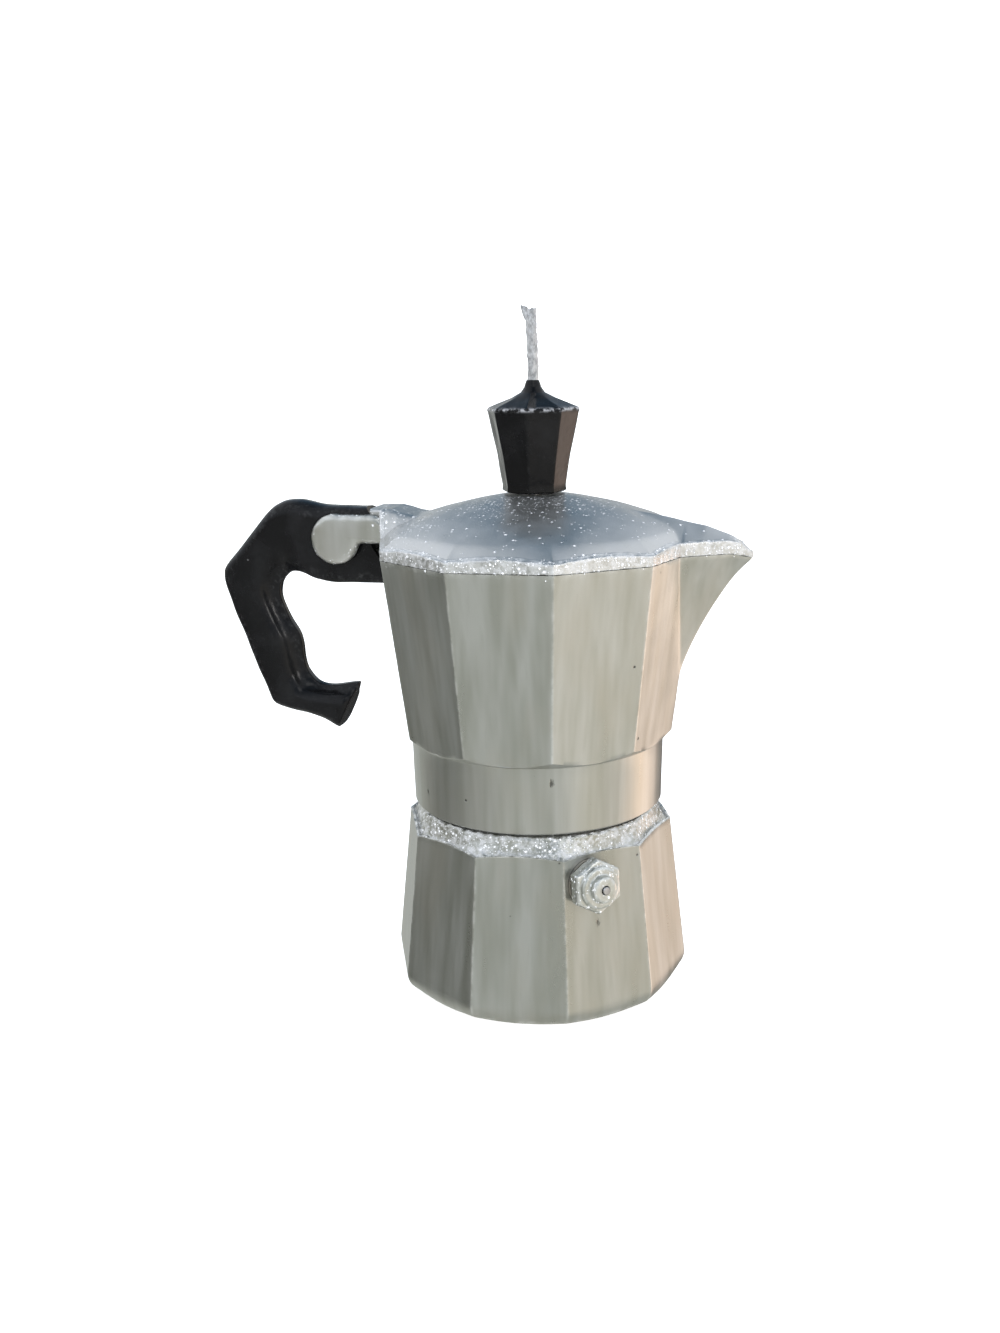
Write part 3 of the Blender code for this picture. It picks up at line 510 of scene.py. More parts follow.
def funnel_grid(columns=160):
    """A closed turned outline: up the outside of the tube, cone and basket, over the flange and down inside.

    Straight runs join the stations. The basket has a bead, 0.18 * exp(-((z - 44) / 0.7) squared).
    """
    angle = once_round(columns)
    inside = [(2.8, 4.0, 3), (2.8, 28.9, 8), (18.3, 37.4, 3), (18.8, 38.0, 8)]
    inside += [(18.8, 50.2, 2), (19.1, 50.6, 4)]
    outside = [(22.3, 50.6, 2), (22.6, 50.3, 1), (22.6, 50.0, 2), (22.4, 49.8, 4), (20.1, 49.8, 2)]
    outside += [(19.6, 49.3, 8), (19.6, 37.6, 2), (19.2, 37.0, 8), (4.1, 28.8, 2), (3.6, 28.2, 10)]
    outside += [(3.6, 4.0, 1)]
    radius, height = run((inside + outside)[::-1], angle)
    bead = 0.18 * np.exp(-(((height - 44.0) / 0.7) ** 2)) * (radius > 18)
    return polar(radius + bead, height, angle)


funnel = grid_skin("funnel_spun", funnel_grid(), loop=True, sharp=40)
funnel.data.materials.append(rolled_sheet)
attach(funnel, "funnel")
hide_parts("funnel")
dress(rolled_sheet, "funnel_sieve", "filter_plate")


# ---------------------------------------------------------------- gasket
# A moulded ring of pale rubber in the collar. It seals the collar on the neck and grips the filter plate.


def soft_rubber(name, colour):
    """Matt moulded rubber with a faint mottle and a powdery grain."""
    material, tree, shader = fresh_material(name)
    mottle = object_noise(tree, (1, 1, 1), 240, 4.0)
    darker = tuple(c * 0.82 for c in colour) + (1,)
    tinted = blended(tree, between(tree, mottle, 0.4, 0.7), colour + (1,), darker)
    tree.links.new(tinted, shader.inputs["Base Color"])
    tree.links.new(between(tree, mottle, 0.3, 0.7, 0.5, 0.68), shader.inputs["Roughness"])
    grain = object_noise(tree, (1, 1, 1), 3000, 2.0)
    bumped(tree, shader, grain, 0.3, 0.00005)
    return material


def gasket_grid(columns=160):
    """A ring whose section is a rounded box with a shallow groove in its upper face."""
    angle = once_round(columns)
    section = [(17.5, 50.9, 4), (23.2, 50.9, 2), (23.6, 51.3, 3), (23.6, 53.0, 2)]
    section += [(23.2, 53.4, 3), (21.6, 53.4, 2), (21.0, 53.1, 2), (20.4, 53.1, 2), (19.8, 53.4, 3)]
    section += [(17.5, 53.4, 2), (17.2, 53.1, 3), (17.2, 51.2, 2), (17.5, 50.9, 1)]
    radius, height = run(section, angle)
    return polar(radius, height, angle)[:-1]


gasket = grid_skin("gasket_ring", gasket_grid(), loop=True, sharp=50)
gasket.data.materials.append(soft_rubber("pale_rubber", (0.72, 0.7, 0.63)))
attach(gasket, "seal")
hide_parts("gasket")


# ---------------------------------------------------------------- collector
# The upper pot is one casting: a round threaded collar, ten sides that widen to the rim, a spout drawn
# out of the corner opposite the handle, and a column in the middle that the coffee rises through.

BODY_FOOT_R, BODY_FOOT_Z = 29.26, 56.1
BODY_RIM_R, BODY_RIM_Z = 34.07, 94.1
BODY_SPREAD = (BODY_RIM_R - BODY_FOOT_R) / (BODY_RIM_Z - BODY_FOOT_Z)
COLLAR_TOP_R, COLLAR_TOP_Z = 27.2, 54.5
SPOUT_ROOT_Z, SPOUT_ROOT_X, SPOUT_HALF_W = 67.7, 30.7, 8.43
SPOUT_WALL = 1.5
APEX_ROUND = 0.00006
COLLAR_BORE_R = 24.4


def softer_max(first, second, width):
    """The larger of two values, with the crease between them rounded over about width."""
    gap = first - second
    return (first + second + np.sqrt(gap * gap + width * width)) / 2


def centred(angle):
    """An angle brought to the range from -pi to pi."""
    return (angle + math.pi) % (2 * math.pi) - math.pi


def spout_reach(angle, height, inset=0.0):
    """The spout's radius: in plan two straight sides run from the body to an apex on +X.

    With the apex at a and sides of slope s, a side's polar radius is a * s / (|sin| + s * cos). The apex
    moves out as 0.321 t + 0.0095 t * t, t above the root, and the half-width at the body grows evenly.
    """
    t = np.clip(height - SPOUT_ROOT_Z, 0.02, None)
    half = SPOUT_HALF_W * t / (BODY_RIM_Z - SPOUT_ROOT_Z)
    front = SPOUT_ROOT_X + 0.321 * t + 0.0095 * t * t
    root = BODY_FOOT_R + BODY_SPREAD * (height - BODY_FOOT_Z) - half * math.tan(HALF_SIDE)
    slope = np.clip(half / np.clip(front - root, 0.01, None), 0.05, 1.2)
    apex = front - inset * np.sqrt(1 + 1 / slope**2)
    away = np.abs(centred(angle))
    reach = apex * slope / (np.sqrt(np.sin(away) ** 2 + APEX_ROUND) + slope * np.cos(away))
    return np.where((away < 0.6) & (height > SPOUT_ROOT_Z - 0.5), reach, 0.0)


def lip_droop(radius):
    """How far the spout's lip and the lid's beak bend down towards the tip."""
    return 1.1 * smooth_step(radius, 40.0, 46.0)


def collector_grid(per_side=38, at_spout=100):
    """Rows from the top of the riser's bore, down through the collar, up the outside, over the rim, down the
    chamber and up the column. The sides stand on a chamfer cone, whose meeting line with them is solved."""
    angle = side_angles(per_side, at_spout)
    outline = many_sided(angle, SIDES, SIDE_SHARPNESS)
    inside = [(0.6, 84.4, 3), (2.1, 84.4, 6), (2.6, 60.0, 4), (3.4, 57.5, 5), (7.4, 54.8, 5), (23.9, 54.8, 2)]
    inside += [(COLLAR_BORE_R, 54.4, 36), (COLLAR_BORE_R, 41.2, 2), (24.8, 40.5, 2)]
    inside += [(25.2, 40.4, 3), (26.5, 40.4, 2), (26.85, 40.75, 5)]
    start_r, start_z = run(inside + [(COLLAR_TOP_R - 0.05, COLLAR_TOP_Z - 0.3, 1)], angle)
    in_bore = np.abs(start_r - COLLAR_BORE_R) < 0.05
    start_r = start_r - thread_ridge(angle, start_z, THREAD_FOOT_Z, THREAD_TURNS) * in_bore

    slope = (BODY_FOOT_Z - COLLAR_TOP_Z) / (BODY_FOOT_R - COLLAR_TOP_R)
    flat_base = BODY_FOOT_R + BODY_SPREAD * (COLLAR_TOP_Z - slope * COLLAR_TOP_R - BODY_FOOT_Z)
    meet_r = outline * flat_base / (1 - slope * BODY_SPREAD * outline)
    meet_z = COLLAR_TOP_Z + slope * (meet_r - COLLAR_TOP_R)
    chamfer_r = stretch(COLLAR_TOP_R + 0.0 * outline, meet_r, 4)
    chamfer_z = stretch(COLLAR_TOP_Z + 0.0 * outline, meet_z, 4)
    side_z = meet_z + (BODY_RIM_Z - 0.12 - meet_z) * np.linspace(0, 1, 42)[:, None]
    side_r = outline * (BODY_FOOT_R + BODY_SPREAD * (side_z - BODY_FOOT_Z))
    side_r = softer_max(side_r, spout_reach(angle, side_z), 0.14) - 0.1
    top_r, top_z = side_r[-1], side_z[-1]
    rim_r = np.stack([top_r - 0.04, top_r - 0.16])
    rim_z = np.stack([top_z + 0.08, top_z + 0.12])

    inner_z = np.concatenate([[BODY_RIM_Z, BODY_RIM_Z - 0.3], np.linspace(BODY_RIM_Z - 0.6, 59.0, 22)])
    inner_z = inner_z[:, None] + 0 * angle
    inner_r = outline * (BODY_FOOT_R + BODY_SPREAD * (inner_z - BODY_FOOT_Z) - 2.5)
    channel = np.where(inner_z > SPOUT_ROOT_Z + 4, spout_reach(angle, inner_z, SPOUT_WALL), 0.0)
    inner_r = softer_max(inner_r, channel, 0.6) - 0.15
    inner_r[0] += 0.25
    floor = [(24.0, 57.6, 2), (22.5, 57.0, 6), (8.5, 57.0, 3), (6.9, 57.8, 22)]
    floor += [(4.2, 85.3, 3), (3.5, 86.4, 3), (0.6, 86.5, 1)]
    floor_r, floor_z = run(floor, angle)
    side_way = np.abs(np.abs(centred(angle)) - math.pi / 2) * 4.4
    outlet = (floor_r > 3) & (floor_z > 70)
    hole = outlet * (1 - smooth_step(np.hypot(side_way, floor_z - 82.5), 1.1, 1.5))
    floor_r = floor_r - 1.7 * hole

    rows = [start_r, chamfer_r, side_r, rim_r, inner_r, floor_r]
    radius = np.concatenate(rows)
    height = np.concatenate([start_z, chamfer_z, side_z, rim_z, inner_z, floor_z])
    counts = np.cumsum([len(part) for part in rows])
    index = np.arange(len(radius))[:, None]
    height = height - lip_droop(radius) * smooth_step(height, 86.0, 94.0)
    sides = (index >= counts[1]) & (index < counts[2])
    on_collar = (index >= counts[0] - 6) & (index < counts[0])
    points = polar(radius, height, angle)
    swell = -0.0016 + 0.0014 * lumps(points * (1, 1, 0.25), 15, 31) + 0.0007 * lumps(points, 5, 32)
    points[..., :2] *= (1 + (sides | on_collar) * swell)[..., None]
    body_only = side_r[-1] < 34.4
    corners = corner_mark(angle, SIDES, 0.009) * body_only
    # A pale line along the rim's top: partly wear, partly a painted highlight.
    rim_wear_and_highlight = np.exp(-(((index - counts[2] - 0.5) / 1.6) ** 2))
    marks = {"corner": np.maximum(0.6 * sides * corners, rim_wear_and_highlight), "frost": 0.1 * rim_wear_and_highlight + 0 * angle}
    return points, marks


collector = grid_skin("collector_casting", *collector_grid(), sharp=32)
collector_blots = [(0.0085, -0.0257, 0.0512), (-0.0195, -0.0188, 0.0455)]
collector.data.materials.append(silver_skin("collector_silver", (0.47, 0.475, 0.45), blots=collector_blots))
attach(collector, "collector")
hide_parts("collector")


# ---------------------------------------------------------------- hinge lug
# A flat tongue cast on the collector's rear corner. The handle's arm boxes it in, and the hinge pin and
# the handle's screw both go through it.

HINGE_X, HINGE_Z = -42.3, 96.2


def plate_grid(outline, low, high, rounding, crown=0.0, steps=5):
    """A plate over a convex outline of (x, z) points, from y = low to y = high, with rounded edges.

    Each row is the outline drawn in along its own normals by rounding * (1 - sin), at a depth that turns
    through a quarter circle. The flat faces rise by crown towards the middle.
    """
    along = np.roll(outline, -1, 0) - np.roll(outline, 1, 0)
    along /= np.linalg.norm(along, axis=1, keepdims=True)
    inward = np.stack([-along[:, 1], along[:, 0]], -1)
    middle = outline.mean(0)
    if ((middle - outline) * inward).sum() < 0:
        inward = -inward
    turn = np.linspace(0, math.pi / 2, steps)
    edge = [(rounding * (1 - math.sin(t)), rounding * (1 - math.cos(t))) for t in turn]
    rows = []
    for share in (0.15, 0.4, 0.65, 0.85):
        flat = middle + (outline + inward * rounding - middle) * share
        rows.append((flat, low - crown * (1 - share**2)))
    rows += [(outline + inward * inset, low + depth) for inset, depth in edge]
    rows += [(outline + inward * inset, high - depth) for inset, depth in edge[::-1]]
    for share in (0.85, 0.65, 0.4, 0.15):
        flat = middle + (outline + inward * rounding - middle) * share
        rows.append((flat, high + crown * (1 - share**2)))
    return np.stack([np.stack([flat[:, 0], np.full(len(flat), y), flat[:, 1]], -1) for flat, y in rows])


def dense(corners, spacing=0.4):
    """Points about spacing apart along a closed outline of straight sides."""
    corners = np.array(corners, float)
    pieces = []
    for start, end in zip(corners, np.roll(corners, -1, 0)):
        count = max(2, int(np.linalg.norm(end - start) / spacing))
        pieces.append(stretch(start, end, count))
    return np.concatenate(pieces)


def softened(outline, passes):
    """An outline with its corners rounded by averaging each point with its neighbours, passes times."""
    for _ in range(passes):
        outline = (np.roll(outline, 1, 0) + 2 * outline + np.roll(outline, -1, 0)) / 4
    return outline


lug_corners = [(-31.8, 92.0), (-32.6, 94.0), (-34.9, 94.0), (-35.4, 97.0), (-38.5, 100.0)]
lug_corners += [(-46.0, 100.0), (-46.0, 91.2)]
lug_outline = softened(dense(lug_corners), 3)
lug = grid_skin("hinge_lug", plate_grid(lug_outline, -1.9, 1.9, 0.3), flip=True, sharp=40)
lug.data.materials.append(silver_skin("lug_silver", (0.5, 0.5, 0.47)))
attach(lug, "collector")


# ---------------------------------------------------------------- handle
# A black moulded handle: a deep arm over the lug, a kneed grip with two soft finger hollows, and a toe.
# It slides on from behind and one screw holds it from below.

HANDLE_HALF = 4.2
ARM_FRONT_R = 8.85


def handle_stations():
    """Pairs of outline points, outer (x, z) then inner (x, z), from the arm's front to the toe."""
    stations = [
        (-31.0, 102.8, -30.0, 86.3), (-36.0, 102.8, -35.0, 86.3), (-41.0, 102.8, -40.0, 86.3),
        (-46.2, 103.0, -44.6, 86.3), (-49.6, 103.6, -48.2, 87.0), (-52.5, 104.0, -50.6, 87.9),
        (-55.0, 103.9, -52.4, 88.3), (-57.2, 103.0, -54.0, 88.3), (-59.2, 101.4, -55.4, 87.8),
        (-61.6, 98.8, -56.5, 86.9), (-66.0, 93.8, -57.3, 85.7), (-69.7, 89.7, -57.7, 84.3),
        (-70.4, 87.6, -57.8, 83.2), (-70.15, 85.0, -57.6, 82.0), (-68.9, 80.6, -56.9, 80.1),
        (-67.6, 77.2, -55.7, 77.4), (-66.2, 73.4, -54.0, 74.4), (-65.0, 70.0, -53.3, 71.6),
        (-63.9, 66.9, -53.0, 68.9), (-62.6, 63.6, -52.5, 66.4), (-61.4, 60.4, -51.6, 64.8),
        (-60.5, 58.6, -50.6, 63.7), (-59.3, 57.8, -49.6, 63.1), (-57.3, 57.2, -48.5, 62.8),
        (-54.3, 56.5, -47.0, 62.7), (-51.4, 55.9, -45.4, 62.8), (-48.7, 55.1, -43.6, 63.1),
        (-46.6, 54.0, -41.9, 63.4), (-45.1, 53.1, -40.4, 63.5),
    ]
    return np.array(stations).reshape(-1, 2, 2)


def through_points(stations, per_span):
    """A smooth curve through stations (Catmull-Rom: each span is a cubic set by its four nearest points)."""
    ends = np.concatenate([2 * stations[:1] - stations[1:2], stations, 2 * stations[-1:] - stations[-2:-1]])
    t = np.linspace(0, 1, per_span, endpoint=False).reshape(-1, 1, 1, 1)
    before, start, end, after = ends[:-3], ends[1:-2], ends[2:-1], ends[3:]
    curve = 0.5 * (
        2 * start
        + (end - before) * t
        + (2 * before - 5 * start + 4 * end - after) * t**2
        + (3 * start - 3 * end + after - before) * t**3
    )
    curve = curve.transpose(1, 0, 2, 3).reshape(-1, 2, 2)
    return np.concatenate([curve, stations[-1:]])


def front_limit(y, z):
    """How far forward the arm may reach: up to the collector's corner below its rim, and above it up to a
    round of ARM_FRONT_R about the hinge, so that the lid's hump swings clear."""
    wall = BODY_FOOT_R + BODY_SPREAD * (np.minimum(z, BODY_RIM_Z) - BODY_FOOT_Z) + 0.3
    below = -(wall - np.abs(y) * math.tan(HALF_SIDE))
    rise = np.clip(z - HINGE_Z, 0, 8.7)
    above = HINGE_X + np.sqrt(ARM_FRONT_R**2 - rise**2)
    return np.where(z < 93.9, below, np.minimum(above, -34.75))


def handle_grid(columns=96, per_span=7):
    """A rounded box carried along the grip. Its height spans the outer and inner outlines at each station,
    its section is a squared circle, |cos|^e and |sin|^e, and both sides are hollowed a little."""
    pairs = through_points(handle_stations(), per_span)
    middle, across = pairs.mean(1), (pairs[:, 0] - pairs[:, 1]) / 2
    half = np.linalg.norm(across, axis=1)
    angle = once_round(columns)
    cos, sin = np.cos(angle), np.sin(angle)
    power = 0.34
    high = np.sign(cos) * np.abs(cos) ** power
    wide = np.sign(sin) * np.abs(sin) ** power
    place = np.arange(len(pairs))[:, None] / per_span
    on_grip = smooth_step(place, 4.5, 9.0)
    inner_share = np.clip((-high - 0.3) / 0.7, 0, 1)
    thinned = 1 - 0.7 * on_grip * (1 - (1 - inner_share) ** 2)
    high = high - (0.9 / half[:, None]) * wide**2 * smooth_step(high, 0.4, 1.0)
    points = np.zeros((len(pairs), columns, 3))
    points[..., 0] = middle[:, :1] + across[:, :1] * high
    points[..., 2] = middle[:, 1:] + across[:, 1:] * high
    points[..., 1] = HANDLE_HALF * wide * thinned
    toe = smooth_step(np.arange(len(pairs)), len(pairs) - 5, len(pairs))[:, None]
    points[..., 1] *= 1 - 0.12 * toe
    end_rows = []
    for share, push in ((0.96, 0.2), (0.86, 0.35), (0.6, 0.3)):
        cap = points[-1] * 1.0
        cap[:, 0] = middle[-1, 0] + (cap[:, 0] - middle[-1, 0]) * share + push
        cap[:, 2] = middle[-1, 1] + (cap[:, 2] - middle[-1, 1]) * share
        cap[:, 1] *= share
        end_rows.append(cap)
    points = np.concatenate([points, np.stack(end_rows)])
    points += 0.05 * lumps(points, 6, 41)[..., None] * (points[..., :1] < -36)
    points[..., 1] = np.clip(points[..., 1], -HANDLE_HALF, HANDLE_HALF)
    limit = front_limit(points[..., 1], points[..., 2])
    points[..., 0] = np.minimum(points[..., 0], limit)
    edge = smooth_step(np.abs(np.cos(angle)), 0.2, 0.5) * smooth_step(np.abs(np.sin(angle)), 0.2, 0.5)
    return points, {"corner": np.broadcast_to(edge, points.shape[:2])}


def gloss_black(name):
    """Glossy black moulding: faint waviness, dust-dull patches, small dents, grey edges from rubbing and
    painted highlight, and a painted highlight line where the frost mark is set.
    """
    material, tree, shader = fresh_material(name)
    corner = node(tree, "ShaderNodeAttribute", attribute_name="corner").outputs["Fac"]
    patches = object_noise(tree, (1, 1, 1), 120, 4.0)
    fine = object_noise(tree, (1, 1, 1), 900, 3.0)
    deep, dusty = (0.004, 0.004, 0.0045, 1), (0.011, 0.011, 0.012, 1)
    colour = blended(tree, between(tree, patches, 0.45, 0.75), deep, dusty)
    # Grey on the marked edges: partly wear, partly a painted highlight, most of all round the knob's flare.
    worn_and_highlit = times(tree, corner, between(tree, fine, 0.5, 0.8))
    colour = blended(tree, times(tree, worn_and_highlit, 0.12), colour, (0.2, 0.2, 0.2, 1))
    # A pale grey line where the frost mark is set, round the knob's flare: a painted highlight.
    frost_and_highlight_mask = node(tree, "ShaderNodeAttribute", attribute_name="frost").outputs["Fac"]
    painted_highlight_line = times(tree, frost_and_highlight_mask, between(tree, fine, 0.42, 0.56))
    colour = blended(tree, times(tree, painted_highlight_line, 0.8), colour, (0.5, 0.5, 0.52, 1))
    nicks = specks(tree, 330, 0.09, 0.06)
    colour = blended(tree, times(tree, nicks, 0.5), colour, (0.14, 0.14, 0.14, 1))
    tree.links.new(colour, shader.inputs["Base Color"])
    rough = maths(tree, "ADD", between(tree, patches, 0.35, 0.7, 0.09, 0.2), times(tree, worn_and_highlit, 0.2))
    tree.links.new(rough, shader.inputs["Roughness"])
    shader.inputs["Specular IOR Level"].default_value = 0.2
    waves = times(tree, object_noise(tree, (1, 1, 1), 260, 2.0), 2.0)
    height = maths(tree, "ADD", waves, times(tree, fine, 0.3))
    height = maths(tree, "SUBTRACT", height, nicks)
    bumped(tree, shader, height, 0.35, 0.0002)
    return material


handle = grid_skin("handle_moulding", *handle_grid(), sharp=50)
black_moulding = gloss_black("black_moulding")
handle.data.materials.append(black_moulding)
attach(handle, "collector")
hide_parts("handle")
steel = plain_metal("plain_steel", (0.6, 0.6, 0.6), 0.26)
dress(steel, "handle_screw", "hinge_pin", "knob_screw", "knob_washer")


# ---------------------------------------------------------------- lid
# A cast lid on the ten-sided rim. A ridged beak covers the spout, a square hump at the back carries the
# two hinge ears, and the knob's screw goes through the flat in the middle.

LID_FOOT_Z, LID_TOP_Z = 94.18, 105.8
BEAK_TIP_X, BEAK_ROOT_X = 45.8, 31.33
BEAK_SLOPE = SPOUT_HALF_W / (BEAK_TIP_X - BEAK_ROOT_X)


def dome_height(radius, outline):
    """The round dome, squared off towards the rim: it falls as 0.19 s + 0.00018 s cubed past the flat.

    s is how far a point lies past the flat. The last seventh of the radius drops 0.9 more, in an even S.
    """
    share = radius / BODY_RIM_R
    share = share / (1 - (1 - outline) * np.clip(share, 0, 1) ** 11)
    beyond = np.clip(33.57 * share - 6.0, 0, None)
    over = np.clip(share - 1.0, 0, None)
    eased = 0.9 * smooth_step(share, 0.86, 1.0)
    return LID_TOP_Z - 0.19 * beyond - 0.00018 * beyond**3 - eased - 60 * over


def beak_height(x, y):
    """A ridge that falls towards the tip, with two plane slopes down to the edges of the spout."""
    stations = [18, 24, BEAK_ROOT_X, 35.5, 41.3, 43.6, BEAK_TIP_X]
    ridge = np.interp(x, stations, [102.8, 102.2, 100.6, 99.7, 97.6, 96.1, 94.9])
    half = np.clip(BEAK_SLOPE * (BEAK_TIP_X + 0.5 - x), 0.3, SPOUT_HALF_W)
    side = np.where(x > BEAK_ROOT_X, np.minimum(96.7, ridge - 0.25), ridge - 0.46 * SPOUT_HALF_W)
    share = np.sqrt(y * y + 0.16) / half
    return np.where(x > 16, ridge + (side - ridge) * share, 0.0)


def hump_height(x, y):
    """A level-topped block at the back, whose sides are rounded over and then drop steeply."""
    top = np.interp(-x, [20.0, 25.0, 30.0, 33.2, 34.0, 34.4], [100.3, 101.4, 102.6, 102.7, 102.3, 101.6])
    past = np.abs(y)
    shoulder = 1.3 * smooth_step(past, 4.9, 6.6) ** 1.5
    drop = 5.0 * np.clip(past - 6.4, 0, None)
    return np.where(x < -19, top - shoulder - drop, 0.0)


def lid_plan(angle, outline, inset=0.0):
    """The lid's outline: the ten sides, or the beak's two straight edges where they reach further."""
    away = np.abs(centred(angle))
    spread = np.sqrt(np.sin(away) ** 2 + APEX_ROUND) + BEAK_SLOPE * np.cos(away)
    beak = (BEAK_TIP_X - 2.2 * inset) * BEAK_SLOPE / spread
    beak = np.where(away < 1.0, beak, 0.0)
    return softer_max((BODY_RIM_R - inset) * outline, beak, 0.14) - 0.08


def lid_grid(per_side=44, at_spout=120):
    """Rows out along the underside, down inside the rim, under it, up its outside and back over the top."""
    angle = side_angles(per_side, at_spout)
    outline = many_sided(angle, SIDES, SIDE_SHARPNESS)
    from_back = np.abs(np.abs(centred(angle)) - math.pi)
    plan = lid_plan(angle, outline)
    plan = np.where(from_back < 0.5, np.minimum(plan, 33.0 / np.cos(from_back)), plan)
    inner = np.minimum(lid_plan(angle, outline, 1.9), plan - 1.2)

    def top(radius):
        x, y = radius * np.cos(angle), radius * np.sin(angle)
        dome = dome_height(radius, outline)
        raised = softer_max(dome, beak_height(x, y), 0.25) - 0.06
        return softer_max(raised, hump_height(x, y), 0.35) - 0.06

    def under(radius):
        x, y = radius * np.cos(angle), radius * np.sin(angle)
        ceiling = softer_max(dome_height(radius, outline), beak_height(x, y), 1.5) - 2.1
        return np.maximum(ceiling, LID_FOOT_Z + 0.5)

    under_r = inner * np.linspace(0.02, 0.985, 34)[:, None]
    under_z = under(under_r)
    wall_r = np.stack([inner, inner + 0.05, inner + 0.3, plan - 0.12, plan - 0.02])
    wall_z = [LID_FOOT_Z + lift + 0 * angle for lift in (0.3, 0, 0, 0.1)]
    wall_z = np.stack([under_z[-1] - 0.3] + wall_z)
    edge_z = np.maximum(top(plan - 0.6), LID_FOOT_Z + 0.7)
    band_share = np.linspace(0.2, 1.0, 6)[:, None]
    band_r = plan + 0 * band_share
    band_z = LID_FOOT_Z + (edge_z - 0.35 - LID_FOOT_Z) * band_share
    round_r = np.stack([plan - 0.12, plan - 0.4])
    round_z = np.stack([edge_z - 0.1, edge_z])
    inwards = np.concatenate([np.linspace(0.985, 0.6, 62), np.linspace(0.585, 0.02, 38)])
    top_r = (plan - 0.4) * inwards[:, None]
    top_z = np.maximum(top(top_r), LID_FOOT_Z + 0.7)
    radius = np.concatenate([under_r, wall_r, band_r, round_r, top_r])
    height = np.concatenate([under_z, wall_z, band_z, round_z, top_z])
    height = height - lip_droop(radius) * smooth_step(102 - height, 0.0, 3.0)

    counts = np.cumsum([len(under_r), len(wall_r), len(band_r), len(round_r), len(top_r)])
    index = np.arange(len(radius))[:, None]
    band = (index >= counts[1] - 2) & (index < counts[3] + 1)
    upper = index >= counts[3]
    points = polar(radius, height, angle)
    points[..., :2] *= (1 + band * 0.0015 * lumps(points, 2.6, 51))[..., None]
    points[..., 2] += upper * (0.07 * lumps(points, 9, 52) + 0.02 * lumps(points, 3, 53))
    points[..., 2] += band * 0.08 * lumps(points, 1.7, 54)
    near_knob = upper * (1 - smooth_step(radius, 8, 26)) * 0.45
    behind = upper * smooth_step(-points[..., 0], 10, 26) * 0.3
    beak_end = smooth_step(points[..., 0], 39, 43) * (index >= counts[1])
    frost = near_knob + 0 * radius
    # The rim band is lightened by its corner and frost marks: partly wear and frost, partly a painted
    # highlight and painted glint dots.
    for part in (behind, band * 1.0, beak_end * 0.8, upper * 0.05):
        frost = np.maximum(frost, part)
    return points, {"corner": band * 0.75 + 0 * radius, "frost": frost}


lid = grid_skin("lid_casting", *lid_grid(), sharp=38)
lid_silver = silver_skin("lid_silver", (0.55, 0.555, 0.56), 1.0, 0.25)
lid.data.materials.append(lid_silver)
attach(lid, "lid")
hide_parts("lid")


# ---------------------------------------------------------------- hinge ears
# Two cast ears on the hump, one each side of the arm: a round boss over the pin and a short neck.
# A block between them squares off the back of the hump.

EAR_R = 5.4


def ear_outline():
    """A round boss and a neck that leaves its upper half level, softened where the two meet."""
    turn = np.radians(np.linspace(70, 351, 90))
    boss = np.stack([HINGE_X + EAR_R * np.cos(turn), HINGE_Z + EAR_R * np.sin(turn)], -1)
    neck = dense([(-36.6, 95.35), (-31.0, 95.35), (-31.0, 100.0), (-32.6, 101.5), (-40.4, 101.5)], 0.3)
    neck = neck[: -int(np.hypot(3.8, 6.15) / 0.3)]
    return softened(np.concatenate([boss, neck]), 5)


ear_silver = silver_skin("ear_silver", (0.5, 0.5, 0.48), 0.7)
hump_rear = [(-33.1, 96.4), (-33.25, 98.0), (-33.8, 99.9), (-34.6, 101.4), (-34.75, 102.0), (-34.5, 102.65)]
hump_outline = dense([(-30.5, 96.4)] + hump_rear + [(-30.5, 102.6)], 0.3)
hump_points = plate_grid(hump_outline, -5.3, 5.3, 0.8, 0.0, 7)
hump_points += (0.04 * lumps(hump_points, 2.5, 62))[..., None]
hump_block = grid_skin("hump_block", hump_points, {"corner": 0.0, "frost": 0.5}, sharp=40)
hump_block.data.materials.append(lid_silver)
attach(hump_block, "lid")

for ear_name, ear_low, ear_high in (("ear_left", 4.5, 6.8), ("ear_right", -6.8, -4.5)):
    ear_points = plate_grid(ear_outline(), ear_low, ear_high, 1.35, 0.2, 7)
    ear_points += (0.05 * lumps(ear_points, 3.0, 61))[..., None]
    ear_rows = np.arange(len(ear_points))[:, None]
    # Both rounded edges are lightened: partly wear, partly a painted highlight.
    ear_edge = np.exp(-(((ear_rows - 7) / 2.5) ** 2)) + np.exp(-(((ear_rows - 14) / 2.5) ** 2))
    ear_marks = {"corner": 0.6 * ear_edge, "frost": 0.35 * ear_edge}
    ear = grid_skin(ear_name, ear_points, ear_marks, flip=True, sharp=40)
    ear.data.materials.append(ear_silver)
    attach(ear, "lid")


# ---------------------------------------------------------------- knob
# An eight-sided black knob moulded round a brass insert. A screw from under the lid holds it.

KNOB_TURN = math.radians(3.4)


